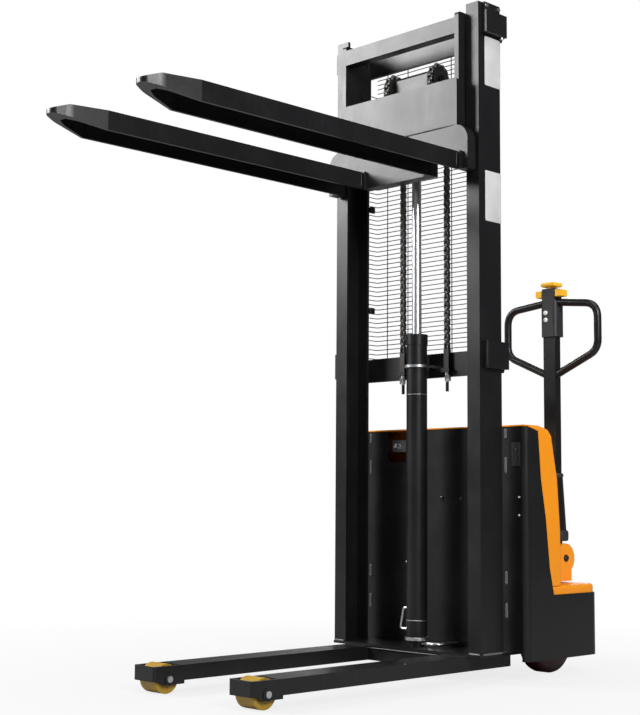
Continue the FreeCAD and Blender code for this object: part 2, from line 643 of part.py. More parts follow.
# ---------------------------------------------------------------- body panels
notch = block("battery_notch", ("-notch_left", "-notch_right"), ("panel_y - 1", "panel_y + sheet_wall + 1"),
              ("notch_low", "body_top + 1"))
flat = "half_body - bend_radius"
panel = block("front_sheet", ("-(%s)" % flat, flat), ("panel_y", "panel_y + sheet_wall"),
              ("foot_top", "body_top"))
keep(less("front_panel_cut", panel, notch), "chassis_front_panel")


def make_side_panel(side, sign):
    """A bent side sheet: a rounded front corner, and a rear edge that slants with the hood."""
    def x(distance):
        return "%s * (%s)" % (sign, distance)
    outer, inner = x("half_body"), x("half_body - sheet_wall")
    start, rear = x(flat), "skirt_y"
    sheet_plan = [(start, "panel_y"), (outer, "panel_y"), (outer, rear), (inner, rear),
                  (inner, "panel_y + sheet_wall"), (start, "panel_y + sheet_wall")]
    bent = plate("side_sheet_" + side, "XY", sheet_plan, "skirt_low", "body_top")
    edge_x = abs(size(outer))
    rounded(bent, "bend_radius - 0.5", lambda edge: along(edge, "z") and
            abs(abs(middle(edge).x) - edge_x) < 0.1 and abs(middle(edge).y - size("panel_y")) < 0.1)
    rounded(bent, "bend_radius - sheet_wall - 0.5", lambda edge: along(edge, "z") and
            abs(abs(middle(edge).x) - edge_x + size("sheet_wall")) < 0.1 and
            abs(middle(edge).y - size("panel_y + sheet_wall")) < 0.1)
    outline = [("panel_y - 1", "skirt_low"), ("panel_y - 1", "body_top"), ("face + 160", "body_top"),
               ("face + 207", "body_top - 11"), ("face + 220", "body_top - 155"),
               ("face + 243", "body_top - 275"), ("face + 261", "body_top - 425"),
               ("face + 281", "skirt_top"), (rear, "skirt_top"), (rear, "skirt_low")]
    span = across(sign, "half_body - bend_radius - 1", "half_body + 1")
    side_view = plate("side_view_" + side, "YZ", outline, *span)
    return shared("side_panel_" + side, bent, side_view)


keep(grouped("side_panel_set", *both_sides(make_side_panel)), "chassis_side_panels")


def tub(name, half, front, rear, low, high):
    """A solid with straight sides and rounded rear corners."""
    outer = plate(name + "_outer", "XY", [("-(%s)" % half, front), (half, front), (half, rear),
                  ("-(%s)" % half, rear)], low, high)
    rounded(outer, "corner_radius", lambda edge: along(edge, "z") and middle(edge).y > size(rear) - 1)
    return outer


skirt_outer = tub("skirt", "half_body", "skirt_y", "rear_y", "skirt_low", "skirt_top")
skirt_inner = plate("skirt_inner", "XY", [("-(half_body - sheet_wall)", "skirt_y - 1"),
                    ("half_body - sheet_wall", "skirt_y - 1"),
                    ("half_body - sheet_wall", "rear_y - sheet_wall"),
                    ("-(half_body - sheet_wall)", "rear_y - sheet_wall")], "skirt_low - 1", "skirt_top + 1")
rounded(skirt_inner, "corner_radius - sheet_wall",
        lambda edge: along(edge, "z") and middle(edge).y > size("rear_y - sheet_wall") - 1)
keep(less("skirt_cut", skirt_outer, skirt_inner), "rear_skirt")
inner_side = "half_body - sheet_wall"
floor = block("floor_sheet", ("-(%s)" % inner_side, inner_side),
              ("panel_y + bend_radius", "skirt_y"), ("floor_low", "floor_low + floor_wall"))
floor_hole = round_bar("floor_hole", "z", ("steer_side", "steer_y", "floor_low - 1"),
                       "neck_radius + 13", "floor_wall + 2")
keep(less("floor_cut", floor, floor_hole), "chassis_floor")


def hood_outline(inset, low):
    """Side view of the hood, pulled in by a wall on its top and its rear."""
    points = [("235", "hood_top"), ("272", "hood_top - 8"), ("291", "hood_top - 26"),
              ("320", "hood_top - 158"), ("333", "hood_top - 312"), ("hood_foot", low)]
    start = [("panel_y", low), ("panel_y", "hood_top - (%s)" % inset)]
    return start + [("face + %s - (%s)" % (back, inset),
                     height if height == low else "%s - (%s)" % (height, inset))
                    for back, height in points]


hood_outer = plate("hood_outer", "YZ", hood_outline("0", "deck_top"), "-hood_side", "hood_side")
rounded(hood_outer, "16", lambda edge: middle(edge).y > size("face + 232") and
        abs(abs(middle(edge).x) - size("hood_side")) < 0.1 and middle(edge).z > size("deck_top") + 1)
hood_inner = plate("hood_inner", "YZ", hood_outline("hood_wall", "deck_top - 1"),
                   "-(hood_side - hood_wall)", "hood_side - hood_wall")
rounded(hood_inner, "12", lambda edge: middle(edge).y > size("face + 228") and
        abs(abs(middle(edge).x) - size("hood_side - hood_wall")) < 0.1 and
        middle(edge).z > size("deck_top") + 1)
hood_front = block("hood_front", ("-hood_side - 1", "hood_side + 1"),
                   ("panel_y - 1", "panel_y + bend_radius + 2"), ("deck_top - 2", "hood_top - hood_wall"))
stop_hole = round_bar("stop_hole", "y", ("-100", "face + 200", "640"), "14.05", "200")
key_hole = round_bar("key_hole", "y", ("-30", "face + 200", "640"), "9.05", "200")
hood_shell = less("hood_open", less("hood_shell", hood_outer, hood_inner), hood_front)
keep(less("hood_cut", less("hood_stop", hood_shell, stop_hole), key_hole), "hood")
deck_side = "half_body - 5"
deck_outer = tub("deck", deck_side, "face + deck_front", "rear_y - 2", "skirt_top", "deck_top")
rounded(deck_outer, "9", lambda edge: middle(edge).z > size("deck_top") - 1 and
        middle(edge).y > size("face + deck_front") + 1)
deck_inner = block("deck_inner", ("-(%s - 14)" % deck_side, deck_side + " - 14"),
                   ("face + deck_front - 1", "rear_y - 40"), ("skirt_top - 1", "deck_top - 5"))
deck_hole = round_bar("deck_hole", "z", ("steer_side", "steer_y", "skirt_top - 1"),
                      "neck_radius + 3", "60")
deck_window = block("deck_window", ("-(%s - 14)" % deck_side, deck_side + " - 14"),
                    ("face + deck_front - 1", "face + hood_foot - 10"), ("deck_top - 6", "deck_top + 1"))
keep(less("deck_cut", deck_outer, deck_inner, deck_window, deck_hole), "deck_cover")
keep(block("battery_case", ("-330", "60"), ("panel_y + sheet_wall + 8", "face + 318"),
           ("floor_low + floor_wall", "floor_low + floor_wall + 250")), "battery")
tank = block("tank", ("90", "325"), ("panel_y + sheet_wall + 8", "face + 290"),
             ("floor_low + floor_wall", "floor_low + floor_wall + 170"))
motor = round_bar("pump_motor", "z", ("200", "face + 225", "floor_low + floor_wall + 170"), "55", "140")
keep(joined("power_pack_weld", tank, motor), "power_pack")
socket_plate = block("socket_plate", ("half_body - 52", "half_body - 22"), ("panel_y - 3", "panel_y"),
                     ("body_top - 118", "body_top - 46"))
socket_well = block("socket_well", ("half_body - 46", "half_body - 28"), ("panel_y - 4", "panel_y - 1"),
                    ("body_top - 98", "body_top - 66"))
keep(less("socket_cut", socket_plate, socket_well), "charge_socket")

# ---------------------------------------------------------------- hood controls
rear_face = "face + 314"
stop_cap = round_bar("stop_cap", "y", ("-100", rear_face + " + 8", "640"), "20", "14")
stop_stem = round_bar("stop_stem", "y", ("-100", rear_face + " - 30", "640"), "14", "38")
keep(joined("stop_weld", stop_cap, stop_stem), "emergency_stop")
key_barrel = round_bar("key_barrel", "y", ("-30", rear_face + " - 26", "640"), "9", "34")
key_bow = block("key_bow", ("-32", "-28"), (rear_face + " + 8", rear_face + " + 30"), ("630", "650"))
keep(joined("key_weld", key_barrel, key_bow), "key_switch")

# ---------------------------------------------------------------- drive unit
wheel_start = ("steer_side - drive_wide / 2", "steer_y", "drive_radius")
tread = round_bar("drive_tread", "x", wheel_start, "drive_radius", "drive_wide")
hub_bore = round_bar("drive_bore", "x", wheel_start, "15 + running_gap", "drive_wide")
keep(less("drive_wheel_cut", tread, hub_bore), "drive_wheel")
cheek = block("gear_cheek", ("steer_side - drive_wide / 2 - 28", "steer_side - drive_wide / 2 - 4"),
              ("steer_y - 42", "steer_y + 42"), ("60", "2 * drive_radius + 5"))
gearbox = round_bar("gearbox", "z", ("steer_side", "steer_y", "2 * drive_radius + 5"), "neck_radius + 10",
                    "skirt_top - 2 * drive_radius - 7")
stub = round_bar("drive_axle", "x", ("steer_side - drive_wide / 2 - 20", "steer_y", "drive_radius"),
                 "15", "drive_wide + 16")
keep(joined("drive_weld", cheek, gearbox, stub), "drive_unit")
neck = round_bar("tiller_neck", "z", ("steer_side", "steer_y", "skirt_top - 2"), "neck_radius",
                 "tilt_height - skirt_top - 16")
clevis_x = ("steer_side - boss_wide / 2", "steer_side + boss_wide / 2")
web = block("tiller_web", clevis_x, ("steer_y - 20", "tilt_y + 30"), ("deck_top + 6", "tilt_height"))
barrel = round_bar("tilt_barrel", "x", (clevis_x[0], "tilt_y", "tilt_height"), "tilt_boss_radius",
                   "boss_wide")
fork_gap = block("tilt_gap", ("steer_side - arm_wide / 2 - 2", "steer_side + arm_wide / 2 + 2"),
                 ("tilt_y - 60", "tilt_y + 100"), ("tilt_height - 34", "tilt_height + 80"))
gap_well = block("tilt_gap_rear", ("steer_side - arm_wide / 2 - 2", "steer_side + arm_wide / 2 + 2"),
                 ("tilt_y - 30", "tilt_y + 100"), ("tilt_height - 34", "tilt_height + 80"))
pin = round_bar("tilt_pin", "x", (clevis_x[0], "tilt_y", "tilt_height"), "12", "boss_wide")
keep(joined("tiller_base_weld", less("tiller_base_cut", joined("tiller_base_solid", neck, web, barrel),
            fork_gap, gap_well), pin), "tiller_base")

# ---------------------------------------------------------------- tiller
arm_x = ("steer_side - arm_wide / 2", "steer_side + arm_wide / 2")
arm = block("arm_bar", arm_x, ("tilt_y - arm_deep / 2", "tilt_y + arm_deep / 2"),
            ("tilt_height", "arm_top"))
arm_eye = round_bar("arm_eye", "x", (arm_x[0], "tilt_y", "tilt_height"), "26", "arm_wide")
arm_bore = round_bar("arm_bore", "x", (arm_x[0], "tilt_y", "tilt_height"), "12 + running_gap", "arm_wide")
boot_low = "tilt_height + tilt_boss_radius + 8"
boot = doc.addObject("Part::Cone", "boot")
boot.setExpression("Radius1", bound("tilt_boss_radius - 4"))
boot.setExpression("Radius2", bound("30"))
boot.setExpression("Height", bound("boot_top - (%s)" % boot_low))
at(boot, "steer_side", "tilt_y", boot_low)
arm_solid = less("arm_bored", joined("arm_weld", arm, arm_eye, boot), arm_bore)
head_x = ("steer_side - head_wide / 2", "steer_side + head_wide / 2")
head_y = ("tilt_y - arm_deep / 2 - 6", "tilt_y - arm_deep / 2 - 6 + head_deep")
housing_head = plate("head_block", "XY", [(head_x[0], head_y[0]), (head_x[1], head_y[0]),
                     (head_x[1], head_y[1]), (head_x[0], head_y[1])], "head_low", "head_low + head_tall")
rounded(housing_head, "11", lambda edge: along(edge, "z"))
head_hole = block("head_hole", arm_x, ("tilt_y - arm_deep / 2", "tilt_y + arm_deep / 2"),
                  ("head_low - 1", "arm_top"))
neck_top = block("head_neck", ("steer_side - 24", "steer_side + 24"), ("tilt_y - 18", "tilt_y + 22"),
                 ("head_low + head_tall", "cap_top - 20"))
thumb_z = "head_low + head_tall + 21"
thumb_hole = round_bar("thumb_hole", "x", ("steer_side - 30", "tilt_y", thumb_z), "8.05", "60")
stem_hole = round_bar("belly_hole", "z", ("steer_side", "tilt_y", "cap_top - 32"), "14.05", "30")


def handle_points():
    """Corners of the closed handle: a drooping top, upright sides and a V down to the arm."""
    half, top, low = size("loop_wide / 2"), size("loop_top"), size("loop_low")
    side = [(half, top - 19), (half, top - 166)]
    right = [Vector(x, 0, z) for x, z in side]
    left = [Vector(-x, 0, z) for x, z in reversed(side)]
    return [Vector(0, 0, top)] + right + [Vector(0, 0, low)] + left


def make_handle():
    """A round tube bent through the handle's corners and closed on itself."""
    corners = handle_points()
    shift = Vector(size("steer_side"), size("tilt_y"), 0)
    corners = [corner + shift for corner in corners]
    count = len(corners)
    bends = []
    for index, corner in enumerate(corners):
        before, after = corners[index - 1], corners[(index + 1) % count]
        towards, away = before - corner, after - corner
        half = towards.getAngle(away) / 2
        trim = 0.4 * min(towards.Length, away.Length)
        bend = min(trim * math.tan(half), 52)
        trim = bend / math.tan(half)
        towards.normalize()
        away.normalize()
        first, last = corner + towards * trim, corner + away * trim
        centre = corner + (towards + away).normalize() * (bend / math.sin(half))
        bends.append((first, centre + (corner - centre).normalize() * bend, last))
    edges = []
    for index, (first, crown, last) in enumerate(bends):
        edges.append(Part.Arc(first, crown, last).toShape())
        edges.append(Part.LineSegment(last, bends[(index + 1) % count][0]).toShape())
    start = bends[0][2]
    heading = bends[1][0] - start
    ring_wire = Part.Wire([Part.makeCircle(size("loop_tube"), start, heading)])
    edges = edges[1:] + edges[:1]
    return Part.Wire(edges).makePipeShell([ring_wire], True, False)


handle = doc.addObject("Part::Feature", "handle")
handle.Shape = make_handle()
keep(handle, "handle_loop")
doc.recompute()
handle_room = doc.addObject("Part::Feature", "handle_room")
handle_room.Shape = handle.Shape
keep(less("arm_cut", arm_solid, handle_room), "tiller_arm")
head_solid = joined("head_solid", housing_head, neck_top)
head_blank = less("head_cut", head_solid, head_hole, thumb_hole, stem_hole, handle_room)
throttle_bar = round_bar("throttle_bar", "x", ("steer_side - 50", "tilt_y", thumb_z), "8", "100")
wings = both_sides(lambda side, sign: block(
    "throttle_wing_" + side, (sign + " * 38 + steer_side - 11", sign + " * 38 + steer_side + 11"),
    ("tilt_y - 18", "tilt_y + 18"), (thumb_z + " - 8", thumb_z + " + 13")))
keep(joined("throttle_weld", throttle_bar, *wings), "thumb_throttle")
cap = plate("belly_plate", "XY", [("steer_side - 28", "tilt_y - 22"), ("steer_side + 28", "tilt_y - 22"),
            ("steer_side + 28", "tilt_y + 26"), ("steer_side - 28", "tilt_y + 26")],
            "cap_top - 14", "cap_top")
rounded(cap, "6", lambda edge: True)
stem = round_bar("belly_stem", "z", ("steer_side", "tilt_y", "cap_top - 24"), "14", "12")
keep(joined("belly_weld", cap, stem), "belly_button")


def make_head_button(name, shift):
    """A round push button on the operator's face of the head."""
    start = ("steer_side + " + shift, head_y[1] + " - 5", "head_low + 80")
    return keep(round_bar(name + "_stud", "y", start, "8", "9"), name)


make_head_button("raise_button", "-14")
make_head_button("lower_button", "14")
pockets = [round_bar("button_pocket_%d" % number, "y", ("steer_side + " + shift, head_y[1] + " - 10",
                     "head_low + 80"), "8.05", "12") for number, shift in enumerate(("-14", "14"))]
keep(less("head_pockets", head_blank, *pockets), "tiller_head")

# ---------------------------------------------------------------- caster
caster_y = "steer_y + caster_trail"
wheel = round_bar("caster_tyre", "x", ("-caster_side - caster_wide / 2", caster_y, "caster_radius"),
                  "caster_radius", "caster_wide")
wheel_bore = round_bar("caster_bore", "x", ("-caster_side - caster_wide / 2", caster_y, "caster_radius"),
                       "8 + running_gap", "caster_wide")
keep(less("caster_cut", wheel, wheel_bore), "caster_wheel")
crown = block("caster_crown", ("-caster_side - caster_wide / 2 - 10", "-caster_side + caster_wide / 2 + 10"),
              ("steer_y - 30", caster_y + " + 20"), ("2 * caster_radius + 5", "2 * caster_radius + 13"))
legs = [block("caster_leg_%d" % number, (low, low + " + 7"), (caster_y + " - 22", caster_y + " + 20"),
              ("caster_radius - 16", "2 * caster_radius + 5"))
        for number, low in enumerate(("-caster_side - caster_wide / 2 - 10",
                                      "-caster_side + caster_wide / 2 + 3"))]
caster_axle = round_bar("caster_axle", "x", ("-caster_side - caster_wide / 2 - 10", caster_y,
                        "caster_radius"), "8", "caster_wide + 20")
post = round_bar("caster_post", "z", ("-caster_side", "steer_y", "2 * caster_radius + 13"), "24",
                 "floor_low - 2 * caster_radius - 13.3")
keep(joined("caster_weld", crown, caster_axle, post, *legs), "caster_yoke")

# ---------------------------------------------------------------- check and export
doc.recompute()
for item in doc.Objects:
    if {"Invalid", "Error"} & set(item.State):
        raise SystemExit("failed: %s %s %s" % (item.Name, item.State, item.getStatusString()))
for node in nodes:
    if node.Shape.isNull() or not node.Shape.isValid():
        raise SystemExit("bad shape: " + node.Label)
os.makedirs("parts", exist_ok=True)
for node in nodes:
    node.Shape.exportStep("parts/%s.step" % node.Label)
print(len(nodes), "nodes")
for node in nodes:
    print("%-24s %2d solids %12.0f mm3" % (node.Label, len(node.Shape.Solids), node.Shape.Volume))
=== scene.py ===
# %% [markdown]
# This lesson dresses a walkie stacker: a pedestrian lift truck with a mast, two box forks and a tiller.
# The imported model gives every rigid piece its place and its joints. Here each piece gets its finish,
# and the pieces that need more shape than a plain solid are built again: the guard's wires, the leaf
# chains, the rounded handle and the drive wheel's tread. Screws, welds and plates are added.

# %% The frame
import math
import bpy
import bmesh
from mathutils import Matrix, Vector
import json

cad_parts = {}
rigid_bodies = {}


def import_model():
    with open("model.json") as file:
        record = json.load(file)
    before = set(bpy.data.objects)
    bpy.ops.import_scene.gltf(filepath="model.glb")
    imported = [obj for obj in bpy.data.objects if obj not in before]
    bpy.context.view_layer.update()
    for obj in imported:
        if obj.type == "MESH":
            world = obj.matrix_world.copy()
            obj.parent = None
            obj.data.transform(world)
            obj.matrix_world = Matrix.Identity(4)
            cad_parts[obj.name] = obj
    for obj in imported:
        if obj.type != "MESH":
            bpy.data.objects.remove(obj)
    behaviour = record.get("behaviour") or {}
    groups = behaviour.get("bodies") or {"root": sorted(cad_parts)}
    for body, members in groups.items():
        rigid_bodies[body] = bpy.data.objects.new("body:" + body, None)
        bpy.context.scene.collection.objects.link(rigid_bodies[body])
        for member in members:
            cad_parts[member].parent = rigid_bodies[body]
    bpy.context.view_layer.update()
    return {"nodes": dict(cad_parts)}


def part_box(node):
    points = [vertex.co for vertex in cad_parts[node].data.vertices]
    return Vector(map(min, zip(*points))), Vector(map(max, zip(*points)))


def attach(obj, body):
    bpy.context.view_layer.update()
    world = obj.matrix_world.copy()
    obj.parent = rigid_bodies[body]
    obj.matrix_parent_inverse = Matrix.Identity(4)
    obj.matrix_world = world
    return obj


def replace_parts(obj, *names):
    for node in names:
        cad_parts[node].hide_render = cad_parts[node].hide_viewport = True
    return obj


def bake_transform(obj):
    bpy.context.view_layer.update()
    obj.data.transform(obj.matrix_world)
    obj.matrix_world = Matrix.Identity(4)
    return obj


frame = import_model()

# %% [markdown]
# Shader maths reads best as Python. The class below wraps one output socket, and an expression on
# wrapped sockets adds the Math nodes that work it out. A Recipe holds one material's node tree: its
# method node() makes any other node, and coat() joins the finished values to the surface.

# %% A small language for finishes
class Value:
    """One output socket, with arithmetic that adds Math nodes."""

    def __init__(self, recipe, socket):
        self.recipe, self.socket = recipe, socket

    def join(self, kind, left, right):
        return self.recipe.node("ShaderNodeMath", {"operation": kind}, {0: left, 1: right})

    def __add__(self, other): return self.join("ADD", self, other)
    def __radd__(self, other): return self.join("ADD", other, self)
    def __sub__(self, other): return self.join("SUBTRACT", self, other)
    def __rsub__(self, other): return self.join("SUBTRACT", other, self)
    def __mul__(self, other): return self.join("MULTIPLY", self, other)
    def __rmul__(self, other): return self.join("MULTIPLY", other, self)

    def ramp(self, low, high):
        """0 below low, 1 above high, and straight between them."""
        return self.recipe.node("ShaderNodeMapRange", {"clamp": True}, {0: self, 1: low, 2: high})


class Recipe:
    """A material's node tree and the ways to add to it."""

    def __init__(self, name):
        self.material = bpy.data.materials.new(name)
        self.material.use_nodes = True
        self.tree = self.material.node_tree
        self.shader = self.tree.nodes["Principled BSDF"]
        self.place = self.node("ShaderNodeTexCoord", {}, {}, "Object")

    def node(self, kind, settings, values, output=0):
        made = self.tree.nodes.new(kind)
        for name, value in settings.items():
            setattr(made, name, value)
        for name, value in values.items():
            if isinstance(value, Value):
                self.tree.links.new(value.socket, made.inputs[name])
            else:
                made.inputs[name].default_value = value
        return Value(self, made.outputs[output])

    def axis(self, letter):
        """One of the place's three numbers."""
        return self.node("ShaderNodeSeparateXYZ", {}, {0: self.place}, letter)

    def noise(self, scale, detail=2.0, stretch=(1, 1, 1), output="Fac"):
        """Noise whose scale is in features per metre."""
        moved = self.node("ShaderNodeMapping", {}, {"Vector": self.place, "Scale": stretch})
        values = {"Vector": moved, "Scale": scale, "Detail": detail, "Roughness": 0.55}
        return self.node("ShaderNodeTexNoise", {}, values, output)

    def blend(self, amount, first, second):
        """A colour between two colours."""
        made = self.tree.nodes.new("ShaderNodeMix")
        made.data_type = "RGBA"
        for socket, value in ((0, amount), (6, first), (7, second)):
            if isinstance(value, Value):
                self.tree.links.new(value.socket, made.inputs[socket])
            else:
                made.inputs[socket].default_value = value if socket == 0 else (*value[:3], 1)
        return Value(self, made.outputs[2])

    def coat(self, color, rough, height=None, depth=0.0002, **fixed):
        """Join colour, roughness and height to the surface, and set the fixed sockets."""
        for name, value in (("Base Color", color), ("Roughness", rough)):
            if isinstance(value, Value):
                self.tree.links.new(value.socket, self.shader.inputs[name])
            else:
                self.shader.inputs[name].default_value = value if name == "Roughness" else (*value, 1)
        if height is not None:
            bump = self.node("ShaderNodeBump", {}, {"Height": height, "Distance": depth}, 0)
            self.tree.links.new(bump.socket, self.shader.inputs["Normal"])
        for name, value in fixed.items():
            self.shader.inputs[name.replace("_", " ")].default_value = value
        return self.material


def linear(red, green, blue):
    """A colour as a screen shows it, turned to the linear numbers a shader wants."""
    return tuple(((c / 255 + 0.055) / 1.055) ** 2.4 if c > 10 else c / 3294.6
                 for c in (red, green, blue))


# %% [markdown]
# The truck is mostly one finish: black powder coat. It is sprayed as a dry powder and baked, so it has
# a fine orange-peel skin, a soft gloss, and dust that settles unevenly. Three noises are enough: a fine
# one for the skin, a broad one for paler, duller patches, and a stretched one for the veil of dust.

# %% Painted steel
def powder_coat(name, base, rough=0.38, dust=0.5, peel=900.0):
    """Baked powder coat: orange peel, uneven gloss and a thin veil of dust."""
    r = Recipe(name)
    skin = r.noise(peel, 2.0)
    patches = r.noise(9.0, 4.0)
    veil = r.noise(60.0, 5.0, (1, 1, 0.25)).ramp(0.52, 0.85) * dust
    paler = tuple(min(1.0, c * 1.7 + 0.007) for c in base)
    color = r.blend(veil * 0.6 + patches.ramp(0.45, 0.75) * 0.25, base, paler)
    return r.coat(color, patches * 0.16 + veil * 0.12 + (rough - 0.08), skin, 0.00012,
                  Specular_IOR_Level=0.36)


def gloss_paint(name, base, rough=0.26):
    """Smooth coloured paint or moulded cover, a little mottled, with fine scuffs."""
    r = Recipe(name)
    mottle = r.noise(5.0, 3.0)
    scuff = r.noise(420.0, 3.0, (1, 1, 0.08)).ramp(0.66, 0.8)
    darker = tuple(c * 0.86 for c in base)
    color = r.blend(mottle.ramp(0.35, 0.7) * 0.5, base, darker)
    return r.coat(color, mottle * 0.08 + scuff * 0.14 + (rough - 0.04), r.noise(700.0, 2.0), 0.00005)


BLACK = powder_coat("powder_black", linear(16, 16, 17), 0.32, 0.35)
FORK_BLACK = powder_coat("fork_black", linear(18, 18, 19), 0.32, 0.5)
GUARD_BLACK = powder_coat("guard_black", linear(12, 12, 13), 0.42, 0.3, 1500.0)
ORANGE = gloss_paint("cover_orange", linear(247, 150, 18))
BASE_ORANGE = gloss_paint("tiller_orange", linear(247, 152, 22), 0.33)

# %% [markdown]
# Bare and plated metals differ in their grain. Zinc plate is mottled and slightly blue, machined steel
# has fine parallel lines, and the lift rod's hard chrome has a soft, even shine.

# %% Metals
def metal(name, base, rough, grain=0.1, stretch=(1, 1, 1), scale=300.0, depth=0.00004):
    """Bare metal with a directional grain."""
    r = Recipe(name)
    lines = r.noise(scale, 3.0, stretch)
    stain = r.noise(22.0, 4.0)
    darker = tuple(c * 0.7 for c in base)
    color = r.blend(stain.ramp(0.4, 0.75) * 0.6, base, darker)
    return r.coat(color, lines * grain + stain * 0.1 + (rough - 0.08), lines, depth, Metallic=1.0)


ZINC = metal("zinc_plate", (0.62, 0.63, 0.65), 0.32)
STEEL = metal("machined_steel", (0.42, 0.42, 0.44), 0.34, 0.16, (1, 6, 6))
CHAIN = metal("oiled_chain", (0.13, 0.125, 0.12), 0.36)
DARK_BOLT = metal("blackened_bolt", (0.09, 0.088, 0.085), 0.42)
PACK_GREY = metal("cast_housing", (0.2, 0.2, 0.21), 0.5)


def anchor_steel():
    """Blackened clevis, a zinc-plated nut below it, and a blackened thread end."""
    low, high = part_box("chain_anchors")
    r = Recipe("anchor_steel")
    height = r.axis("Z")
    tall = high[2] - low[2]
    nut_low, nut_high, edge = low[2] + 0.22 * tall, low[2] + 0.5 * tall, 0.0004
    nut = height.ramp(nut_low - edge, nut_low) * (1 - height.ramp(nut_high, nut_high + edge))
    lines = r.noise(300.0, 3.0)
    return r.coat(r.blend(nut, (0.05, 0.048, 0.046), (0.6, 0.61, 0.63)), lines * 0.12 + 0.3, lines,
                  0.00004, Metallic=0.9)


ANCHOR_STEEL = anchor_steel()
CHROME = metal("hard_chrome", (0.95, 0.955, 0.96), 0.3, 0.03, (1, 1, 0.02), 500.0, 0.000002)


# %% [markdown]
# Buttons, caps and the tiller's head are moulded plastic with a fine grain. The wheels are cast
# polyurethane: amber on the load rollers and dark red on the drive wheel, smeared with dust.

# %% Plastics and treads
def moulded(name, base, rough=0.5, grain=1400.0, depth=0.0001):
    """Moulded plastic with a fine spark-eroded grain."""
    r = Recipe(name)
    mottle = r.noise(14.0, 3.0)
    paler = tuple(min(1.0, c * 1.25 + 0.008) for c in base)
    color = r.blend(mottle.ramp(0.4, 0.7) * 0.5, base, paler)
    return r.coat(color, mottle * 0.12 + (rough - 0.06), r.noise(grain, 2.0), depth)


def tread(name, base, dust):
    """Cast polyurethane, dusty on the running face."""
    r = Recipe(name)
    smear = r.noise(90.0, 5.0, (0.2, 1, 1))
    color = r.blend(smear.ramp(0.45, 0.75) * 0.6, base, dust)
    return r.coat(color, smear * 0.25 + 0.3, r.noise(500.0, 3.0), 0.00012)


YELLOW = moulded("yellow_plastic", linear(246, 184, 30), 0.42)
BLACK_PLASTIC = moulded("black_plastic", (0.018, 0.018, 0.019))
GREY_PLASTIC = moulded("grey_plastic", (0.22, 0.22, 0.23))
RED_PLASTIC = moulded("red_plastic", (0.6, 0.02, 0.015), 0.3)
WHITE_PLATE = moulded("white_plate", (0.5, 0.495, 0.49), 0.4)
PRINT_WHITE = moulded("print_white", (0.8, 0.8, 0.79), 0.45)
RUBBER = moulded("rubber_boot", (0.016, 0.016, 0.017), 0.62, 800.0)
AMBER = tread("amber_tread", linear(164, 130, 36), linear(120, 98, 46))
DARK_RED = tread("drive_tread", (0.06, 0.005, 0.007), (0.06, 0.018, 0.018))
DARK_TREAD = tread("caster_tread", (0.03, 0.03, 0.032), (0.12, 0.11, 0.1))

print("finishes:", [m.name for m in bpy.data.materials])

# %% [markdown]
# With the finishes mixed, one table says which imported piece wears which. The pieces keep their shape
# and place, and only their material slot changes.

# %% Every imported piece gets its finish
FINISHES = {
    FORK_BLACK: ["fork_left", "fork_right", "fork_crossmember", "straddle_leg_left",
                 "straddle_leg_right", "wheel_housings"],
    BLACK: ["mast_upright_left", "mast_upright_right", "top_crossbeam", "mid_crossbeam",
            "mast_brackets", "base_crossmember", "lift_cylinder", "gland_nut", "crosshead",
            "carriage_side_plates", "carriage_top_bar", "carriage_front_plate",
            "chassis_front_panel", "chassis_side_panels", "rear_skirt", "chassis_floor",
            "tiller_arm", "handle_loop", "roller_pins"],
    GUARD_BLACK: ["mesh_guard"],
    ORANGE: ["hood", "deck_cover"],
    BASE_ORANGE: ["tiller_base"],
    ZINC: ["bracket_bolts", "load_axles", "cylinder_strap", "hydraulic_pipes",
           "key_switch", "caster_yoke"],
    PACK_GREY: ["power_pack"],
    STEEL: ["drive_unit", "mast_roller_lower_left", "mast_roller_upper_left",
            "mast_roller_lower_right", "mast_roller_upper_right"],
    CHAIN: ["sheave_left", "sheave_right", "chain_wraps", "chain_rear_runs", "chain_front_runs"],
    CHROME: ["lift_rod"],
    ANCHOR_STEEL: ["chain_anchors"],
    AMBER: ["load_roller_left", "load_roller_right"],
    DARK_RED: ["drive_wheel"],
    DARK_TREAD: ["caster_wheel"],
    BLACK_PLASTIC: ["battery", "charge_socket", "tiller_head"],
    YELLOW: ["belly_button", "thumb_throttle"],
    GREY_PLASTIC: ["raise_button", "lower_button"],
    RED_PLASTIC: ["emergency_stop"],
}


def node_object(node):
    """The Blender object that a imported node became."""
    found = frame["nodes"][node]
    return found if isinstance(found, bpy.types.Object) else bpy.data.objects[found["object"]]


for finish, names in FINISHES.items():
    for name in names:
        item = node_object(name)
        item.data.materials.clear()
        item.data.materials.append(finish)
print(sum(len(names) for names in FINISHES.values()), "pieces finished")

# %% [markdown]
# Added pieces are placed from the mast's centre line and its front face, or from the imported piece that
# they belong to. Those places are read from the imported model, so the details follow when it shifts.
# Heights that are written as numbers don't follow when it grows.

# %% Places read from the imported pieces
def ends(node):
    """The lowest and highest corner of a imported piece."""
    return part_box(node)


UP_R = ends("mast_upright_right")
UP_L = ends("mast_upright_left")
MIDDLE = (UP_L[0].x + UP_R[1].x) / 2
FACE = UP_R[0].y
print("mast centre line at x = %.4f, mast face at y = %.4f" % (MIDDLE, FACE))


# %% [markdown]
# Added pieces start as a mesh made in the script. The helpers here link such a mesh, keep its sharp
# corners sharp, give it a finish and let it ride on the body that it belongs to. Round pieces all come
# from rings of points: one helper makes a ring, and another puts faces between rings.

# %% From a mesh to a finished piece
def linked(name, mesh):
    """A scene object for a mesh."""
    item = bpy.data.objects.new(name, mesh)
    bpy.context.scene.collection.objects.link(item)
    return item


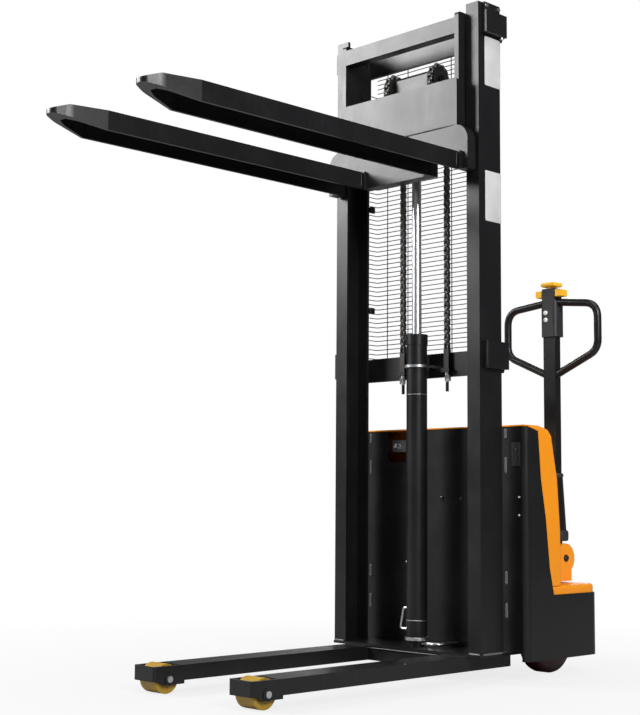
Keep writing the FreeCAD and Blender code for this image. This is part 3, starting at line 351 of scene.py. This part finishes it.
def settle(item, finish, body, replaced=()):
    """Give a made piece its finish, its body and smooth shading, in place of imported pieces."""
    print(item.name, len(item.data.polygons), "faces")
    if replaced:
        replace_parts(item, *replaced)
    item.data.materials.clear()
    item.data.materials.append(finish)
    for face in item.data.polygons:
        face.use_smooth = True
    if body is not None:
        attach(item, body)
    return item


def from_bmesh(name, shape, finish, body, sharp=35, replaced=()):
    """Turn a bmesh into a finished piece. Edges bent by more than sharp degrees stay sharp."""
    bmesh.ops.recalc_face_normals(shape, faces=shape.faces)
    for edge in shape.edges:
        edge.smooth = len(edge.link_faces) == 2 and edge.calc_face_angle(3.0) < math.radians(sharp)
    mesh = bpy.data.meshes.new(name)
    shape.to_mesh(mesh)
    shape.free()
    return settle(linked(name, mesh), finish, body, replaced)


# %% Rings of points
def across(way):
    """Two directions at right angles to a way and to each other."""
    side = way.cross(Vector((0, 0, 1)) if abs(way.z) < 0.9 else Vector((1, 0, 0))).normalized()
    return side, way.cross(side)


def ring(shape, centre, side, up, radius, sides):
    """A ring of points round a centre."""
    return [shape.verts.new(centre + radius * (math.cos(a) * side + math.sin(a) * up))
            for a in (2 * math.pi * k / sides for k in range(sides))]


def skin(shape, rings, closed=False):
    """Faces between one ring and the next, with flat ends unless the last ring meets the first."""
    sides = len(rings[0])
    for first, second in zip(rings, rings[1:] + (rings[:1] if closed else [])):
        for k in range(sides):
            j = (k + 1) % sides
            shape.faces.new((first[k], first[j], second[j], second[k]))
    if not closed:
        shape.faces.new(rings[0][::-1])
        shape.faces.new(rings[-1])


# %% [markdown]
# The guard is a welded screen: level wires every 15 mm, bent forward at both ends, over a few upright
# wires. One geometry-nodes tree sweeps a round section along the lines it is given and repeats the
# result upwards. It is used three times: for the bent level wires, for the flat ones at the top and,
# with a single row, for the uprights.

# %% A tree that sweeps and repeats wires
WIRE, PITCH = 0.0015, 0.015          # a wire's radius, and the step between rows


def wire_tree(finish):
    """Geometry nodes: lines in, a stack of round wires out."""
    tree = bpy.data.node_groups.new("repeated_wires", "GeometryNodeTree")
    face = tree.interface
    face.new_socket("Lines", in_out="INPUT", socket_type="NodeSocketGeometry")
    inputs = {}
    for label, kind, value in (("Radius", "NodeSocketFloat", WIRE), ("Rows", "NodeSocketInt", 1),
                               ("Pitch", "NodeSocketVector", (0, 0, PITCH))):
        made = face.new_socket(label, in_out="INPUT", socket_type=kind)
        made.default_value = value
        inputs[label] = made.identifier
    face.new_socket("Wires", in_out="OUTPUT", socket_type="NodeSocketGeometry")
    add, link = tree.nodes.new, tree.links.new
    given, result = add("NodeGroupInput"), add("NodeGroupOutput")
    curve, circle = add("GeometryNodeMeshToCurve"), add("GeometryNodeCurvePrimitiveCircle")
    sweep = add("GeometryNodeCurveToMesh")
    circle.inputs["Resolution"].default_value = 8
    sweep.inputs["Fill Caps"].default_value = True
    row, place = add("GeometryNodeMeshLine"), add("GeometryNodeInstanceOnPoints")
    real, paint = add("GeometryNodeRealizeInstances"), add("GeometryNodeSetMaterial")
    paint.inputs["Material"].default_value = finish
    link(given.outputs["Lines"], curve.inputs[0])
    link(given.outputs["Radius"], circle.inputs["Radius"])
    link(curve.outputs[0], sweep.inputs["Curve"])
    link(circle.outputs[0], sweep.inputs["Profile Curve"])
    link(given.outputs["Rows"], row.inputs["Count"])
    link(given.outputs["Pitch"], row.inputs["Offset"])
    link(row.outputs[0], place.inputs["Points"])
    link(sweep.outputs[0], place.inputs["Instance"])
    link(place.outputs[0], real.inputs[0])
    link(real.outputs[0], paint.inputs["Geometry"])
    link(paint.outputs[0], result.inputs[0])
    return tree, inputs


def grown(name, seed, tree, settings, finish, body, replaced=()):
    """Run a tree on a seed mesh, keep the result as a plain mesh and remove the modifier."""
    change = seed.modifiers.new("grow", "NODES")
    change.node_group = tree
    for identifier, value in settings.items():
        change[identifier] = value
    graph = bpy.context.evaluated_depsgraph_get()
    mesh = bpy.data.meshes.new_from_object(seed.evaluated_get(graph))
    seed.modifiers.remove(change)
    bpy.data.objects.remove(seed)
    mesh.name = name
    return settle(linked(name, mesh), finish, body, replaced)


def seed_lines(name, points, edges):
    """Bare lines for a tree to grow on."""
    mesh = bpy.data.meshes.new(name)
    mesh.from_pydata(points, edges, [])
    mesh.update()
    return linked(name, mesh)


# %% [markdown]
# The level wires follow one path: forward at the left end, round a small bend, along the back and
# forward again. Only that one wire is drawn, and the tree repeats it at the guard's pitch.

# %% The guard's wires
WIRES, WIRE_IN = wire_tree(GUARD_BLACK)
g_low, g_high = ends("mesh_guard")
rear, front = g_high.y - WIRE, g_low.y
left, right = g_low.x + WIRE, g_high.x - WIRE
bend = 0.008
rows = int((g_high.z - g_low.z - 2 * WIRE) / PITCH) + 1
path = [(left, front, 0)]
for x, turn in ((left, 1), (right, -1)):
    corner = [(x + turn * bend * (1 - math.cos(a)), rear - bend * (1 - math.sin(a)), 0)
              for a in (0, math.pi / 6, math.pi / 3, math.pi / 2)]
    path += corner if turn == 1 else corner[::-1]
path.append((right, front, 0))
path = [(x, y, g_low.z + WIRE) for x, y, z in path]
returned = rows - 4                  # the top four rows are flat and have no bent ends
level = seed_lines("level_lines", path, [(i, i + 1) for i in range(len(path) - 1)])
grown("guard_level_wires", level, WIRES,
      {WIRE_IN["Radius"]: WIRE, WIRE_IN["Rows"]: returned, WIRE_IN["Pitch"]: (0.0, 0.0, PITCH)},
      GUARD_BLACK, "frame", ("mesh_guard",))
flat_z = g_low.z + WIRE + returned * PITCH
flat = [(left, rear, flat_z), (right, rear, flat_z)]
top_lines = seed_lines("top_lines", flat, [(0, 1)])
grown("guard_top_wires", top_lines, WIRES,
      {WIRE_IN["Radius"]: WIRE, WIRE_IN["Rows"]: rows - returned, WIRE_IN["Pitch"]: (0.0, 0.0, PITCH)},
      GUARD_BLACK, "frame")
HALF_GUARD = 0.251
posts = [MIDDLE + HALF_GUARD * share for share in (-0.8, -0.44, 0.3, 0.62, 0.99)]
points = [(x, rear - 2 * WIRE, z) for x in posts for z in (g_low.z, g_high.z)]
upright = seed_lines("post_lines", points, [(i, i + 1) for i in range(0, len(points), 2)])
grown("guard_upright_wires", upright, WIRES, {WIRE_IN["Radius"]: WIRE, WIRE_IN["Rows"]: 1},
      GUARD_BLACK, "frame")

# %% [markdown]
# Lift chains are leaf chains: laced plates on pins, with no rollers. One pair of links is modelled with
# eighty faces, and a second tree sets it along a path, turned so that it follows the sheave.

# %% One pair of chain links
LINK_PITCH, LINK_WIDE = 0.0125, 0.016
SIDE_THICK, SIDE_REACH, SIDE_GAP = 0.0018, 0.0066, 0.0032
PIN_RADIUS = 0.0018


def link_side(shape, x, low):
    """One plate of a link, with round ends, from low upwards."""
    outline = []
    for centre, start in ((low, math.pi), (low + LINK_PITCH, 0.0)):
        for step in range(5):
            a = start + math.pi * step / 4
            outline.append((SIDE_REACH * math.cos(a), centre + SIDE_REACH * math.sin(a)))
    skin(shape, [[shape.verts.new((x + side, y, z)) for y, z in outline]
                 for side in (-SIDE_THICK / 2, SIDE_THICK / 2)])


def link_pair(name):
    """Two outer plates, three inner plates and two pins, along +Z."""
    shape = bmesh.new()
    for x in (-LINK_WIDE / 2 + 0.001, LINK_WIDE / 2 - 0.001):
        link_side(shape, x, 0.0)
    for x in (-SIDE_GAP, 0.0, SIDE_GAP):
        link_side(shape, x, LINK_PITCH)
    for z in (0.0, LINK_PITCH):
        pin = bmesh.ops.create_cone(shape, cap_ends=True, segments=8, radius1=PIN_RADIUS,
                                    radius2=PIN_RADIUS, depth=LINK_WIDE + 0.0016)
        for vertex in pin["verts"]:
            vertex.co = Vector((vertex.co.z, vertex.co.y, vertex.co.x + z))
    bmesh.ops.recalc_face_normals(shape, faces=shape.faces)
    mesh = bpy.data.meshes.new(name)
    shape.to_mesh(mesh)
    shape.free()
    print(name, len(mesh.polygons), "faces")
    return linked(name, mesh)


# %% A tree that sets links along a path
def chain_tree(finish):
    """Geometry nodes: a path in, links along it out."""
    tree = bpy.data.node_groups.new("chain_along", "GeometryNodeTree")
    face = tree.interface
    face.new_socket("Path", in_out="INPUT", socket_type="NodeSocketGeometry")
    pairs = face.new_socket("Pairs", in_out="INPUT", socket_type="NodeSocketInt")
    pairs.default_value = 6
    unit = face.new_socket("Link", in_out="INPUT", socket_type="NodeSocketObject")
    face.new_socket("Chain", in_out="OUTPUT", socket_type="NodeSocketGeometry")
    add, link = tree.nodes.new, tree.links.new
    given, result = add("NodeGroupInput"), add("NodeGroupOutput")
    curve, even = add("GeometryNodeMeshToCurve"), add("GeometryNodeResampleCurve")
    tangent, turn = add("GeometryNodeInputTangent"), add("FunctionNodeAlignRotationToVector")
    turn.axis, turn.pivot_axis = "Z", "X"
    source, place = add("GeometryNodeObjectInfo"), add("GeometryNodeInstanceOnPoints")
    real, paint = add("GeometryNodeRealizeInstances"), add("GeometryNodeSetMaterial")
    paint.inputs["Material"].default_value = finish
    link(given.outputs["Path"], curve.inputs[0])
    link(curve.outputs[0], even.inputs["Curve"])
    link(given.outputs["Pairs"], even.inputs["Count"])
    link(given.outputs["Link"], source.inputs["Object"])
    link(tangent.outputs[0], turn.inputs["Vector"])
    link(even.outputs[0], place.inputs["Points"])
    link(source.outputs["Geometry"], place.inputs["Instance"])
    link(turn.outputs[0], place.inputs["Rotation"])
    link(place.outputs[0], real.inputs[0])
    link(real.outputs[0], paint.inputs["Geometry"])
    link(paint.outputs[0], result.inputs[0])
    return tree, {"Pairs": pairs.identifier, "Link": unit.identifier}


# %% [markdown]
# Each chain has three stretches: a long one behind, from its anchor on the frame to the sheave, a half
# turn over the sheave, and a short one in front, down to the carriage. The straight stretches are
# attached to no body, and only the half turn rides on the rod.

# %% Where the chains run
LINKS, LINK_IN = chain_tree(CHAIN)
LINK = link_pair("link_pair")
HALF_CHAIN = 0.0065
OVER_ANCHOR, UNDER_SHEAVE = 0.004, 0.022
rear_low, rear_high = ends("chain_rear_runs")
front_low, front_high = ends("chain_front_runs")
axle = ends("sheave_right")
sheave_z, sheave_y = (axle[0].z + axle[1].z) / 2, (axle[0].y + axle[1].y) / 2
rear_y, front_y = (rear_low.y + rear_high.y) / 2, (front_low.y + front_high.y) / 2
chain_x = (rear_low.x + HALF_CHAIN, rear_high.x - HALF_CHAIN)
around = (rear_y - front_y) / 2
print("chains at x =", [round(x, 4) for x in chain_x], "over sheaves at z = %.4f" % sheave_z)


# %% Chains along their runs and over their sheaves
def chain(name, paths, pairs, body, node):
    """Both chains along one stretch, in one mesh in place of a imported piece."""
    points, edges = [], []
    for path in paths:
        start = len(points)
        points += path
        edges += [(start + i, start + i + 1) for i in range(len(path) - 1)]
    seed = seed_lines(name + "_path", points, edges)
    return grown(name, seed, LINKS, {LINK_IN["Pairs"]: pairs, LINK_IN["Link"]: LINK}, CHAIN, body,
                 (node,))


def straight(y, low):
    """Both chains' lines from an anchor to just under the sheaves."""
    return [[(x, y, low + OVER_ANCHOR), (x, y, sheave_z - UNDER_SHEAVE)] for x in chain_x]


rear_chain = chain("chain_links_rear", straight(rear_y, rear_low.z), pairs=34, body=None,
                   node="chain_rear_runs")
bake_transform(rear_chain)
front_chain = chain("chain_links_front", straight(front_y, front_low.z), pairs=6, body=None,
                    node="chain_front_runs")
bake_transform(front_chain)
half_turn = [(sheave_y + around * math.cos(a), sheave_z + around * math.sin(a))
             for a in (math.pi * i / 24 for i in range(25))]
chain("chain_links_wrap", [[(x, y, z) for y, z in half_turn] for x in chain_x], pairs=6,
      body="rod", node="chain_wraps")
bpy.data.objects.remove(LINK)

# %% [markdown]
# The handle is one steel tube bent into a loop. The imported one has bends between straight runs. Here a
# round section is swept along the same path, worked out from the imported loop's own box, with enough
# rings for a clean highlight.

# %% A smooth tube through points
def loop_tube(name, path, radius, finish, body, sides, replaced):
    """Sweep a round section along a closed path, with no twist."""
    shape = bmesh.new()
    rings = []
    side = (path[1] - path[-1]).cross(Vector((0, 1, 0)))
    for i, point in enumerate(path):
        way = (path[(i + 1) % len(path)] - path[i - 1]).normalized()
        side = (side - way * side.dot(way)).normalized()
        rings.append(ring(shape, point, side, way.cross(side), radius, sides))
    skin(shape, rings, True)
    return from_bmesh(name, shape, finish, body, replaced=replaced)


def rounded_loop(corners, bend, steps):
    """A closed path with an arc at each corner."""
    corners = [Vector(c) for c in corners]
    path = []
    for i, here in enumerate(corners):
        before, after = corners[i - 1], corners[(i + 1) % len(corners)]
        a, b = (before - here).normalized(), (after - here).normalized()
        half = a.angle(b) / 2
        reach = min(bend / math.tan(half), 0.4 * min((before - here).length, (after - here).length))
        first, last = here + a * reach, here + b * reach
        for step in range(steps + 1):
            t = step / steps
            path.append(first * (1 - t) ** 2 + here * 2 * t * (1 - t) + last * t * t)
    return path


# %% [markdown]
# The loop is widest where the hands go. From there its sides slope in to a point at the tiller's head,
# and its top rises a little to the middle. One side's corners are given, and the other mirrors them.

# %% The handle's loop
LOOP = ends("handle_loop")
LOOP_TUBE, LOOP_BEND, LOOP_FOOT = 0.012, 0.052, 0.925
loop_x, loop_y = (LOOP[0].x + LOOP[1].x) / 2, (LOOP[0].y + LOOP[1].y) / 2
half = (LOOP[1].x - LOOP[0].x) / 2 - LOOP_TUBE
top = LOOP[1].z - LOOP_TUBE
right_side = [(half, top - 0.019), (half, top - 0.166)]
corners = [(0, top)] + right_side + [(0, LOOP_FOOT)] + [(-x, z) for x, z in right_side[::-1]]
loop_path = rounded_loop([(loop_x + x, loop_y, z) for x, z in corners], LOOP_BEND, 14)
loop_tube("handle_tube", loop_path, LOOP_TUBE, BLACK, "tiller", 24,
          ("handle_loop",))

# %% [markdown]
# Screws, weld marks and bare plates are small, but they set the scale. A round-headed screw is a short
# dome with a round socket, so each is a stack of rings that narrows and then turns down into the head.
# One mesh for each group of them keeps the object list short.

# %% Screws
def screws(name, places, radius, finish, body):
    """Button-head screws: each place is a point and the way the head faces."""
    shape = bmesh.new()
    profile = [(1.0, 0.0), (1.0, 0.25), (0.9, 0.5), (0.62, 0.68), (0.4, 0.72), (0.36, 0.45)]
    for point, way in places:
        way = Vector(way).normalized()
        side, up = across(way)
        skin(shape, [ring(shape, Vector(point) + way * height * radius, side, up, radius * reach, 18)
                     for reach, height in profile])
    return from_bmesh(name, shape, finish, body)


def spot(x, y, z):
    """A place given in metres from the mast's centre line, its front face and the floor."""
    return (MIDDLE + x, FACE + y, z)


PANEL_FACE = 0.1468                  # the front panel, behind the mast's face
screws("panel_screws", [(spot(x, PANEL_FACE, z), (0, -1, 0)) for x, z in
                        ((0.317, 0.688), (0.317, 0.649), (0.328, 0.542), (0.328, 0.488))],
       0.0036, WHITE_PLATE, "frame")
screws("panel_dots", [(spot(x, PANEL_FACE, 0.538), (0, -1, 0)) for x in (0.026, 0.104)],
       0.0062, DARK_BOLT, "frame")
screws("head_screws", [(spot(0.226, 0.4275, z), (0, -1, 0)) for z in (1.133, 1.110)],
       0.0074, PRINT_WHITE, "tiller")


# %% [markdown]
# The mast carries two bare plates on its right side. A plate is a rounded rectangle in three layers,
# and the outermost is a little smaller, which breaks the edge so that it catches the light.

# %% Plates with rounded corners
def plate(name, centre, size, thick, facing, corner, finish, body):
    """A thin plate. facing is the axis it faces, x or y with its sign; size is its width and height."""
    shape = bmesh.new()
    half_a, half_b = size[0] / 2, size[1] / 2
    outline = []
    for sign_a, sign_b, start in ((1, 1, 0), (-1, 1, 90), (-1, -1, 180), (1, -1, 270)):
        for step in range(5):
            a = math.radians(start + 22.5 * step)
            outline.append((sign_a * (half_a - corner) + corner * math.cos(a),
                            sign_b * (half_b - corner) + corner * math.sin(a)))
    out = 1 if facing[0] == "+" else -1
    layers = []
    for depth, inset in ((0.0, 1.0), (0.7, 1.0), (1.0, 1.0 - 0.3 * thick / half_a)):
        layer = []
        for a, b in outline:
            along, rise = a * inset, depth * thick * out
            place = (rise, along, b * inset) if facing[1] == "x" else (along, rise, b * inset)
            layer.append(shape.verts.new(Vector(centre) + Vector(place)))
        layers.append(layer)
    skin(shape, layers)
    return from_bmesh(name, shape, finish, body)


for name, z, tall in (("mast_plate_upper", 1.862, 0.153), ("mast_plate_lower", 1.445, 0.154)):
    plate(name, (UP_R[1].x, FACE + 0.068, z), (0.076, tall), 0.0006, "+x", 0.004, WHITE_PLATE,
          "frame")

# %% [markdown]
# The body's front panel is stitch-welded to the folded sides. Each weld is a short bead of overlapping
# ripples, which a row of squashed rings along a line shows well enough at this scale.

# %% Weld beads
RIPPLE = 0.0018


def bead(shape, start, end, radius):
    """One ripple-textured weld bead between two points."""
    start, end = Vector(start), Vector(end)
    side, up = across((end - start).normalized())
    steps = max(4, int((end - start).length / RIPPLE))
    rings = []
    for i in range(steps + 1):
        t = i / steps
        swell = radius * (0.82 + 0.18 * (i % 2)) * min(1.0, 6 * t + 0.3, 6 * (1 - t) + 0.3)
        rings.append(ring(shape, start.lerp(end, t), side, up, swell, 8))
    skin(shape, rings)


# The welds' pale grey is a painted highlight. It is far lighter than the black paint around the beads and
# stands in for the shine that their ripples catch.
WELD_HIGHLIGHT = powder_coat("weld_painted_highlight", linear(88, 88, 90), 0.3, 0.2, 1400.0)


def beads(name, runs, radius, body, finish=BLACK):
    """Several beads in one mesh: each run is a start and an end."""
    shape = bmesh.new()
    for start, end in runs:
        bead(shape, start, end, radius)
    return from_bmesh(name, shape, finish, body, sharp=60)


# %% [markdown]
# The panel's stitches are short and spaced out, which keeps thin sheet from warping. The legs' feet,
# the forks, the carriage's apron and the mast's beams carry load, so their beads run unbroken.

# %% Where the welds run
BOTH = (-1, 1)
FOOT_Z = 0.0855
STITCH_Y = PANEL_FACE + 0.0007
stitches = ((0.748, 0.716), (0.662, 0.612), (0.321, 0.280), (0.227, 0.180))
# The panel, foot and plate beads below wear that pale coat, a painted highlight on the beads.
beads("panel_welds", [(spot(sign * 0.279, STITCH_Y, top), spot(sign * 0.279, STITCH_Y, low))
                      for sign in BOTH for top, low in stitches], 0.0052, "frame", WELD_HIGHLIGHT)
foot_fronts = [(spot(sign * 0.297, -0.0025, FOOT_Z), spot(sign * 0.254, -0.0025, FOOT_Z))
               for sign in BOTH]
foot_sides = [(spot(sign * 0.3015, 0.004, FOOT_Z), spot(sign * 0.3015, 0.1, FOOT_Z)) for sign in BOTH]
beads("foot_welds", foot_fronts + foot_sides, 0.0036, "frame", WELD_HIGHLIGHT)
plate_front = ends("base_crossmember")[0].y - 0.0002
beads("plate_weld", [((MIDDLE - 0.149, plate_front, 0.0725), (MIDDLE + 0.149, plate_front, 0.0725))],
      0.0016, "frame", WELD_HIGHLIGHT)
fork_face, apron_face = FACE - 0.0575, FACE - 0.0455
fork_runs = []
for low, high in (ends("fork_left"), ends("fork_right")):
    centre = (low.x + high.x) / 2
    for x in (centre - 0.063, centre + 0.063):
        fork_runs.append(((x, fork_face, low.z + 0.004), (x, fork_face, high.z - 0.002)))
    fork_runs.append(((centre - 0.070, apron_face, high.z + 0.0008),
                      (centre + 0.070, apron_face, high.z + 0.0008)))
beads("fork_welds", fork_runs, 0.0026, "carriage", FORK_BLACK)
apron_low, apron_high = ends("carriage_front_plate")
SEAM = 1.657
beads("apron_weld", [((apron_low.x + 0.012, apron_face, SEAM), (apron_high.x - 0.012, apron_face, SEAM))],
      0.0024, "carriage")
beads("beam_welds", [(spot(sign * 0.2985, 0.1165, low), spot(sign * 0.2985, 0.1165, high))
                     for sign in BOTH for low, high in ((1.94, 1.996), (0.917, 0.986))], 0.0024,
      "frame")

# %% [markdown]
# Last come the fittings that a lathe would make. A list of (distance, radius) pairs is turned round an
# axis, which gives the latch ball in the panel's notch, the cylinder's flange and bright grooves, the
# nuts under the chains, the drive wheel's tyre and the rubber collars of the tiller's foot. Six sides
# make a nut. A piece round something else is bored: its profile goes round and meets itself.

# %% Turned pieces
def turned(name, centre, axis, profile, finish, body, sides=32, bored=False):
    """A turned piece: profile is (distance along the axis, radius) pairs. A bored one is a ring."""
    shape = bmesh.new()
    centre, axis = Vector(centre), Vector(axis).normalized()
    side, up = across(axis)
    skin(shape, [ring(shape, centre + axis * along, side, up, radius, sides)
                 for along, radius in profile], bored)
    return from_bmesh(name, shape, finish, body)


# %% [markdown]
# The hood is held by a ball that shows in a notch of the front panel, with a small zinc plate behind.

# %% The latch in the panel's notch
BALL = 0.0095
ball = [(-BALL * math.cos(a), max(0.0008, BALL * math.sin(a)))
        for a in (math.pi * i / 12 for i in range(13))]
plate("latch_plate", spot(-0.169, 0.1655, 0.705), (0.066, 0.039), 0.0025, "-y", 0.003, ZINC, "frame")
turned("hood_latch", spot(-0.178, 0.158, 0.705), (0, -1, 0), ball, ZINC, "frame")

# %% [markdown]
# The cylinder is one black tube. A zinc flange at its foot, two bright grooves and a bleed screw at the
# side break it up. The rings start just under the tube's skin, so that none of them floats.

# %% Fittings of the lift cylinder
turned("bleed_screw", spot(-0.0322, 0.058, 0.34), (-1, 0, 0),
       [(0, 0.005), (0.006, 0.005), (0.007, 0.004), (0.010, 0.004), (0.011, 0.003)], ZINC, "frame",
       12)
foot = ends("lift_cylinder")
axis_x, axis_y = (foot[0].x + foot[1].x) / 2, (foot[0].y + foot[1].y) / 2
INSIDE = 0.0322                      # just under the tube's skin
for name, z, profile in (
        ("foot_flange", 0.1025, [(0, INSIDE), (0, 0.0362), (0.0006, 0.0372), (0.0088, 0.0372),
                                 (0.0098, 0.0362), (0.0098, INSIDE)]),
        ("tube_groove", 0.162, [(0, INSIDE), (0, 0.0326), (0.0005, 0.0331), (0.0022, 0.0331),
                                (0.0027, 0.0326), (0.0027, INSIDE)]),
        ("upper_groove", 0.858, [(0, INSIDE), (0, 0.0326), (0.0004, 0.0329), (0.0012, 0.0329),
                                 (0.0016, 0.0326), (0.0016, INSIDE)])):
    turned(name, (axis_x, axis_y, z), (0, 0, 1), profile, ZINC, "frame", 48, True)

# %% [markdown]
# Two small things sit on the frame here: a plated nut at each chain's anchor, and the short tabs that
# hold the guard at its left edge.

# %% Nuts under the chains, and the guard's tabs
anchor_low, anchor_high = ends("chain_anchors")
anchor_y, anchor_tall = (anchor_low.y + anchor_high.y) / 2, anchor_high.z - anchor_low.z
for number, x in enumerate((anchor_low.x + 0.0075, anchor_high.x - 0.0075)):
    turned("anchor_nut_%d" % number, (x, anchor_y, anchor_low.z + 0.24 * anchor_tall), (0, 0, 1),
           [(0, 0.0085), (0.0015, 0.0097), (0.0185, 0.0097), (0.020, 0.0085)], ZINC, "frame",
           6)
for number, z in enumerate((1.1525, 1.4905)):
    plate("guard_tab_%d" % number, (MIDDLE - 0.2525, FACE + 0.1165, z), (0.024, 0.02), 0.007, "+x",
          0.003, BLACK, "frame")

# %% [markdown]
# The drive wheel's tread is wider than its hub and has round shoulders. Half of the section is written
# down, from the tread's edge in to the bore, and the other half mirrors it.

# %% The drive wheel's tyre
hub = ends("drive_wheel")
hub_x, hub_y, hub_z = ((hub[0][k] + hub[1][k]) / 2 for k in range(3))
tyre_r = (hub[1].z - hub[0].z) / 2
half_tyre = [(0.019, tyre_r), (0.026, tyre_r - 0.0025), (0.031, tyre_r - 0.008),
             (0.0335, tyre_r - 0.016), (0.0335, 0.0605), (0.0285, 0.058), (0.0285, 0.038),
             (0.026, 0.036), (0.026, 0.0155)]
tyre = [(-along, radius) for along, radius in half_tyre[::-1]] + half_tyre
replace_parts(turned("drive_tyre", (hub_x, hub_y, hub_z), (1, 0, 0), tyre, DARK_RED, "drive",
                   72, True), "drive_wheel")

# %% [markdown]
# The tiller's foot has a rubber collar and a rubber rim that tilt with it. The ring of the orange turret
# and the two bolts of the tilt hinge stay behind, on the steering.

# %% The tiller's foot
arm = ends("tiller_arm")
tilt = ((arm[0].x + arm[1].x) / 2, FACE + 0.448)
turned("boot_collar", (tilt[0], tilt[1], 0.405), (0, 0, 1),
       [(0, 0.0425), (0.003, 0.0455), (0.010, 0.0465), (0.026, 0.0465), (0.031, 0.045), (0.034, 0.042)],
       RUBBER, "tiller", 48)
turned("turret_ring", (tilt[0], FACE + 0.398, 0.2745), (0, 0, 1),
       [(0, 0.0475), (0.002, 0.0495), (0.016, 0.0495), (0.021, 0.046), (0.024, 0.040)], BASE_ORANGE,
       "steer", 48)
for label, sign in (("left", -1), ("right", 1)):
    turned("tilt_bolt_" + label, (tilt[0] + sign * 0.046, tilt[1], 0.352), (sign, 0, 0),
           [(0, 0.0115), (0.0012, 0.0115), (0.0015, 0.0085), (0.0055, 0.0085), (0.0062, 0.0076)],
           DARK_BOLT, "steer", 24)
turned("boot_rim", (tilt[0], tilt[1], 0.606), (0, 0, 1),
       [(0, 0.0305), (0.003, 0.0325), (0.009, 0.0325), (0.0125, 0.0305)], RUBBER, "tiller",
       40)

# %% [markdown]
# The stage is a pale floor that takes a soft shadow. For the camera's rays only, the floor also glows,
# so it is white to look at and lights nothing. It glows less right under the truck.

# %% The floor
scene = bpy.context.scene
scene.view_settings.view_transform = "Standard"
floor = bpy.data.meshes.new("floor")
floor.from_pydata([(-40, -40, 0), (40, -40, 0), (40, 40, 0), (-40, 40, 0)], [], [(0, 1, 2, 3)])
floor_item = bpy.data.objects.new("floor", floor)
scene.collection.objects.link(floor_item)
ground = Recipe("pale_floor")
ground.shader.inputs["Base Color"].default_value = (0.42, 0.42, 0.42, 1)
ground.shader.inputs["Roughness"].default_value = 0.8
ground.shader.inputs["Specular IOR Level"].default_value = 0.0
ray = ground.node("ShaderNodeLightPath", {}, {}, "Is Camera Ray")
away = ground.node("ShaderNodeVectorMath", {"operation": "LENGTH"}, {0: ground.place}, "Value")
glow = ground.tree.nodes.new("ShaderNodeEmission")
glow.inputs["Color"].default_value = (1, 1, 1, 1)
mixed = ground.tree.nodes.new("ShaderNodeMixShader")
share = ray * (away.ramp(0.5, 2.4) * 0.2 + 0.8)
ground.tree.links.new(share.socket, mixed.inputs[0])
ground.tree.links.new(ground.shader.outputs[0], mixed.inputs[1])
ground.tree.links.new(glow.outputs[0], mixed.inputs[2])
ground.tree.links.new(mixed.outputs[0], ground.tree.nodes["Material Output"].inputs["Surface"])
floor.materials.append(ground.material)
print("floor", len(floor.polygons), "face")

# %% [markdown]
# The light is soft. A weak, slightly blue surround fills the shadows, and the camera sees white in its
# place. Four square lamps do the rest: the key from the left, a fill from the right, one overhead and
# one behind.

# %% The studio's light
world = bpy.data.worlds.new("studio")
scene.world = world
world.use_nodes = True
nodes, links = world.node_tree.nodes, world.node_tree.links
back = nodes["Background"]
back.inputs["Color"].default_value = (1, 1, 1, 1)
paths, lit = nodes.new("ShaderNodeLightPath"), nodes.new("ShaderNodeBackground")
lit.inputs["Color"].default_value = (0.92, 0.95, 1, 1)
lit.inputs["Strength"].default_value = 0.16
mixer = nodes.new("ShaderNodeMixShader")
links.new(paths.outputs["Is Camera Ray"], mixer.inputs[0])
links.new(lit.outputs[0], mixer.inputs[1])
links.new(back.outputs[0], mixer.inputs[2])
links.new(mixer.outputs[0], nodes["World Output"].inputs["Surface"])


def lamp(name, place, aim, size, power):
    """A soft square lamp that looks at a point."""
    made = bpy.data.lights.new(name, "AREA")
    made.size, made.energy = size, power
    item = bpy.data.objects.new(name, made)
    item.location = place
    item.rotation_euler = (Vector(aim) - Vector(place)).to_track_quat("-Z", "Y").to_euler()
    scene.collection.objects.link(item)
    print(name, "lamp of", power, "W")


lamp("key", (-4.1, -3.3, 3.8), (0, 0, 1.7), 2.5, 440)
lamp("fill", (5.2, -1.9, 3.6), (0, 0.1, 0.8), 2.2, 350)
lamp("top", (0.9, -0.6, 5.4), (0, 0, 0.6), 3.0, 110)
lamp("rear", (-3.2, 4.8, 3.2), (0, 0.3, 1.0), 2.2, 120)

# %% [markdown]
# The camera stands low at the front and to the side, close to the forks' height when they are down, so
# the raised forks are seen from below. Its direction is built from a turn, a pitch and a slight roll.

# %% The camera
turn, pitch, roll = math.radians(45.5), math.radians(5.8), math.radians(0.4)
ahead = Vector((-math.sin(turn) * math.cos(pitch), math.cos(turn) * math.cos(pitch), math.sin(pitch)))
level_right = Vector((math.cos(turn), math.sin(turn), 0))
level_up = level_right.cross(ahead)
right = level_right * math.cos(roll) + level_up * math.sin(roll)
up = level_up * math.cos(roll) - level_right * math.sin(roll)
camera_data = bpy.data.cameras.new("camera")
camera_data.sensor_fit = "AUTO"
camera_data.sensor_width = 36.0
camera_data.lens = 69.784615
camera_data.clip_start, camera_data.clip_end = 0.1, 100
camera = bpy.data.objects.new("camera", camera_data)
scene.collection.objects.link(camera)
turned_to = Matrix((right, up, -ahead)).transposed()
stand = Vector((MIDDLE + 2.8752, FACE - 3.1937, 0.5342))
camera.matrix_world = Matrix.Translation(stand) @ turned_to.to_4x4()
print("camera at", [round(v, 3) for v in stand])
scene.camera = camera

# %% The end
import json
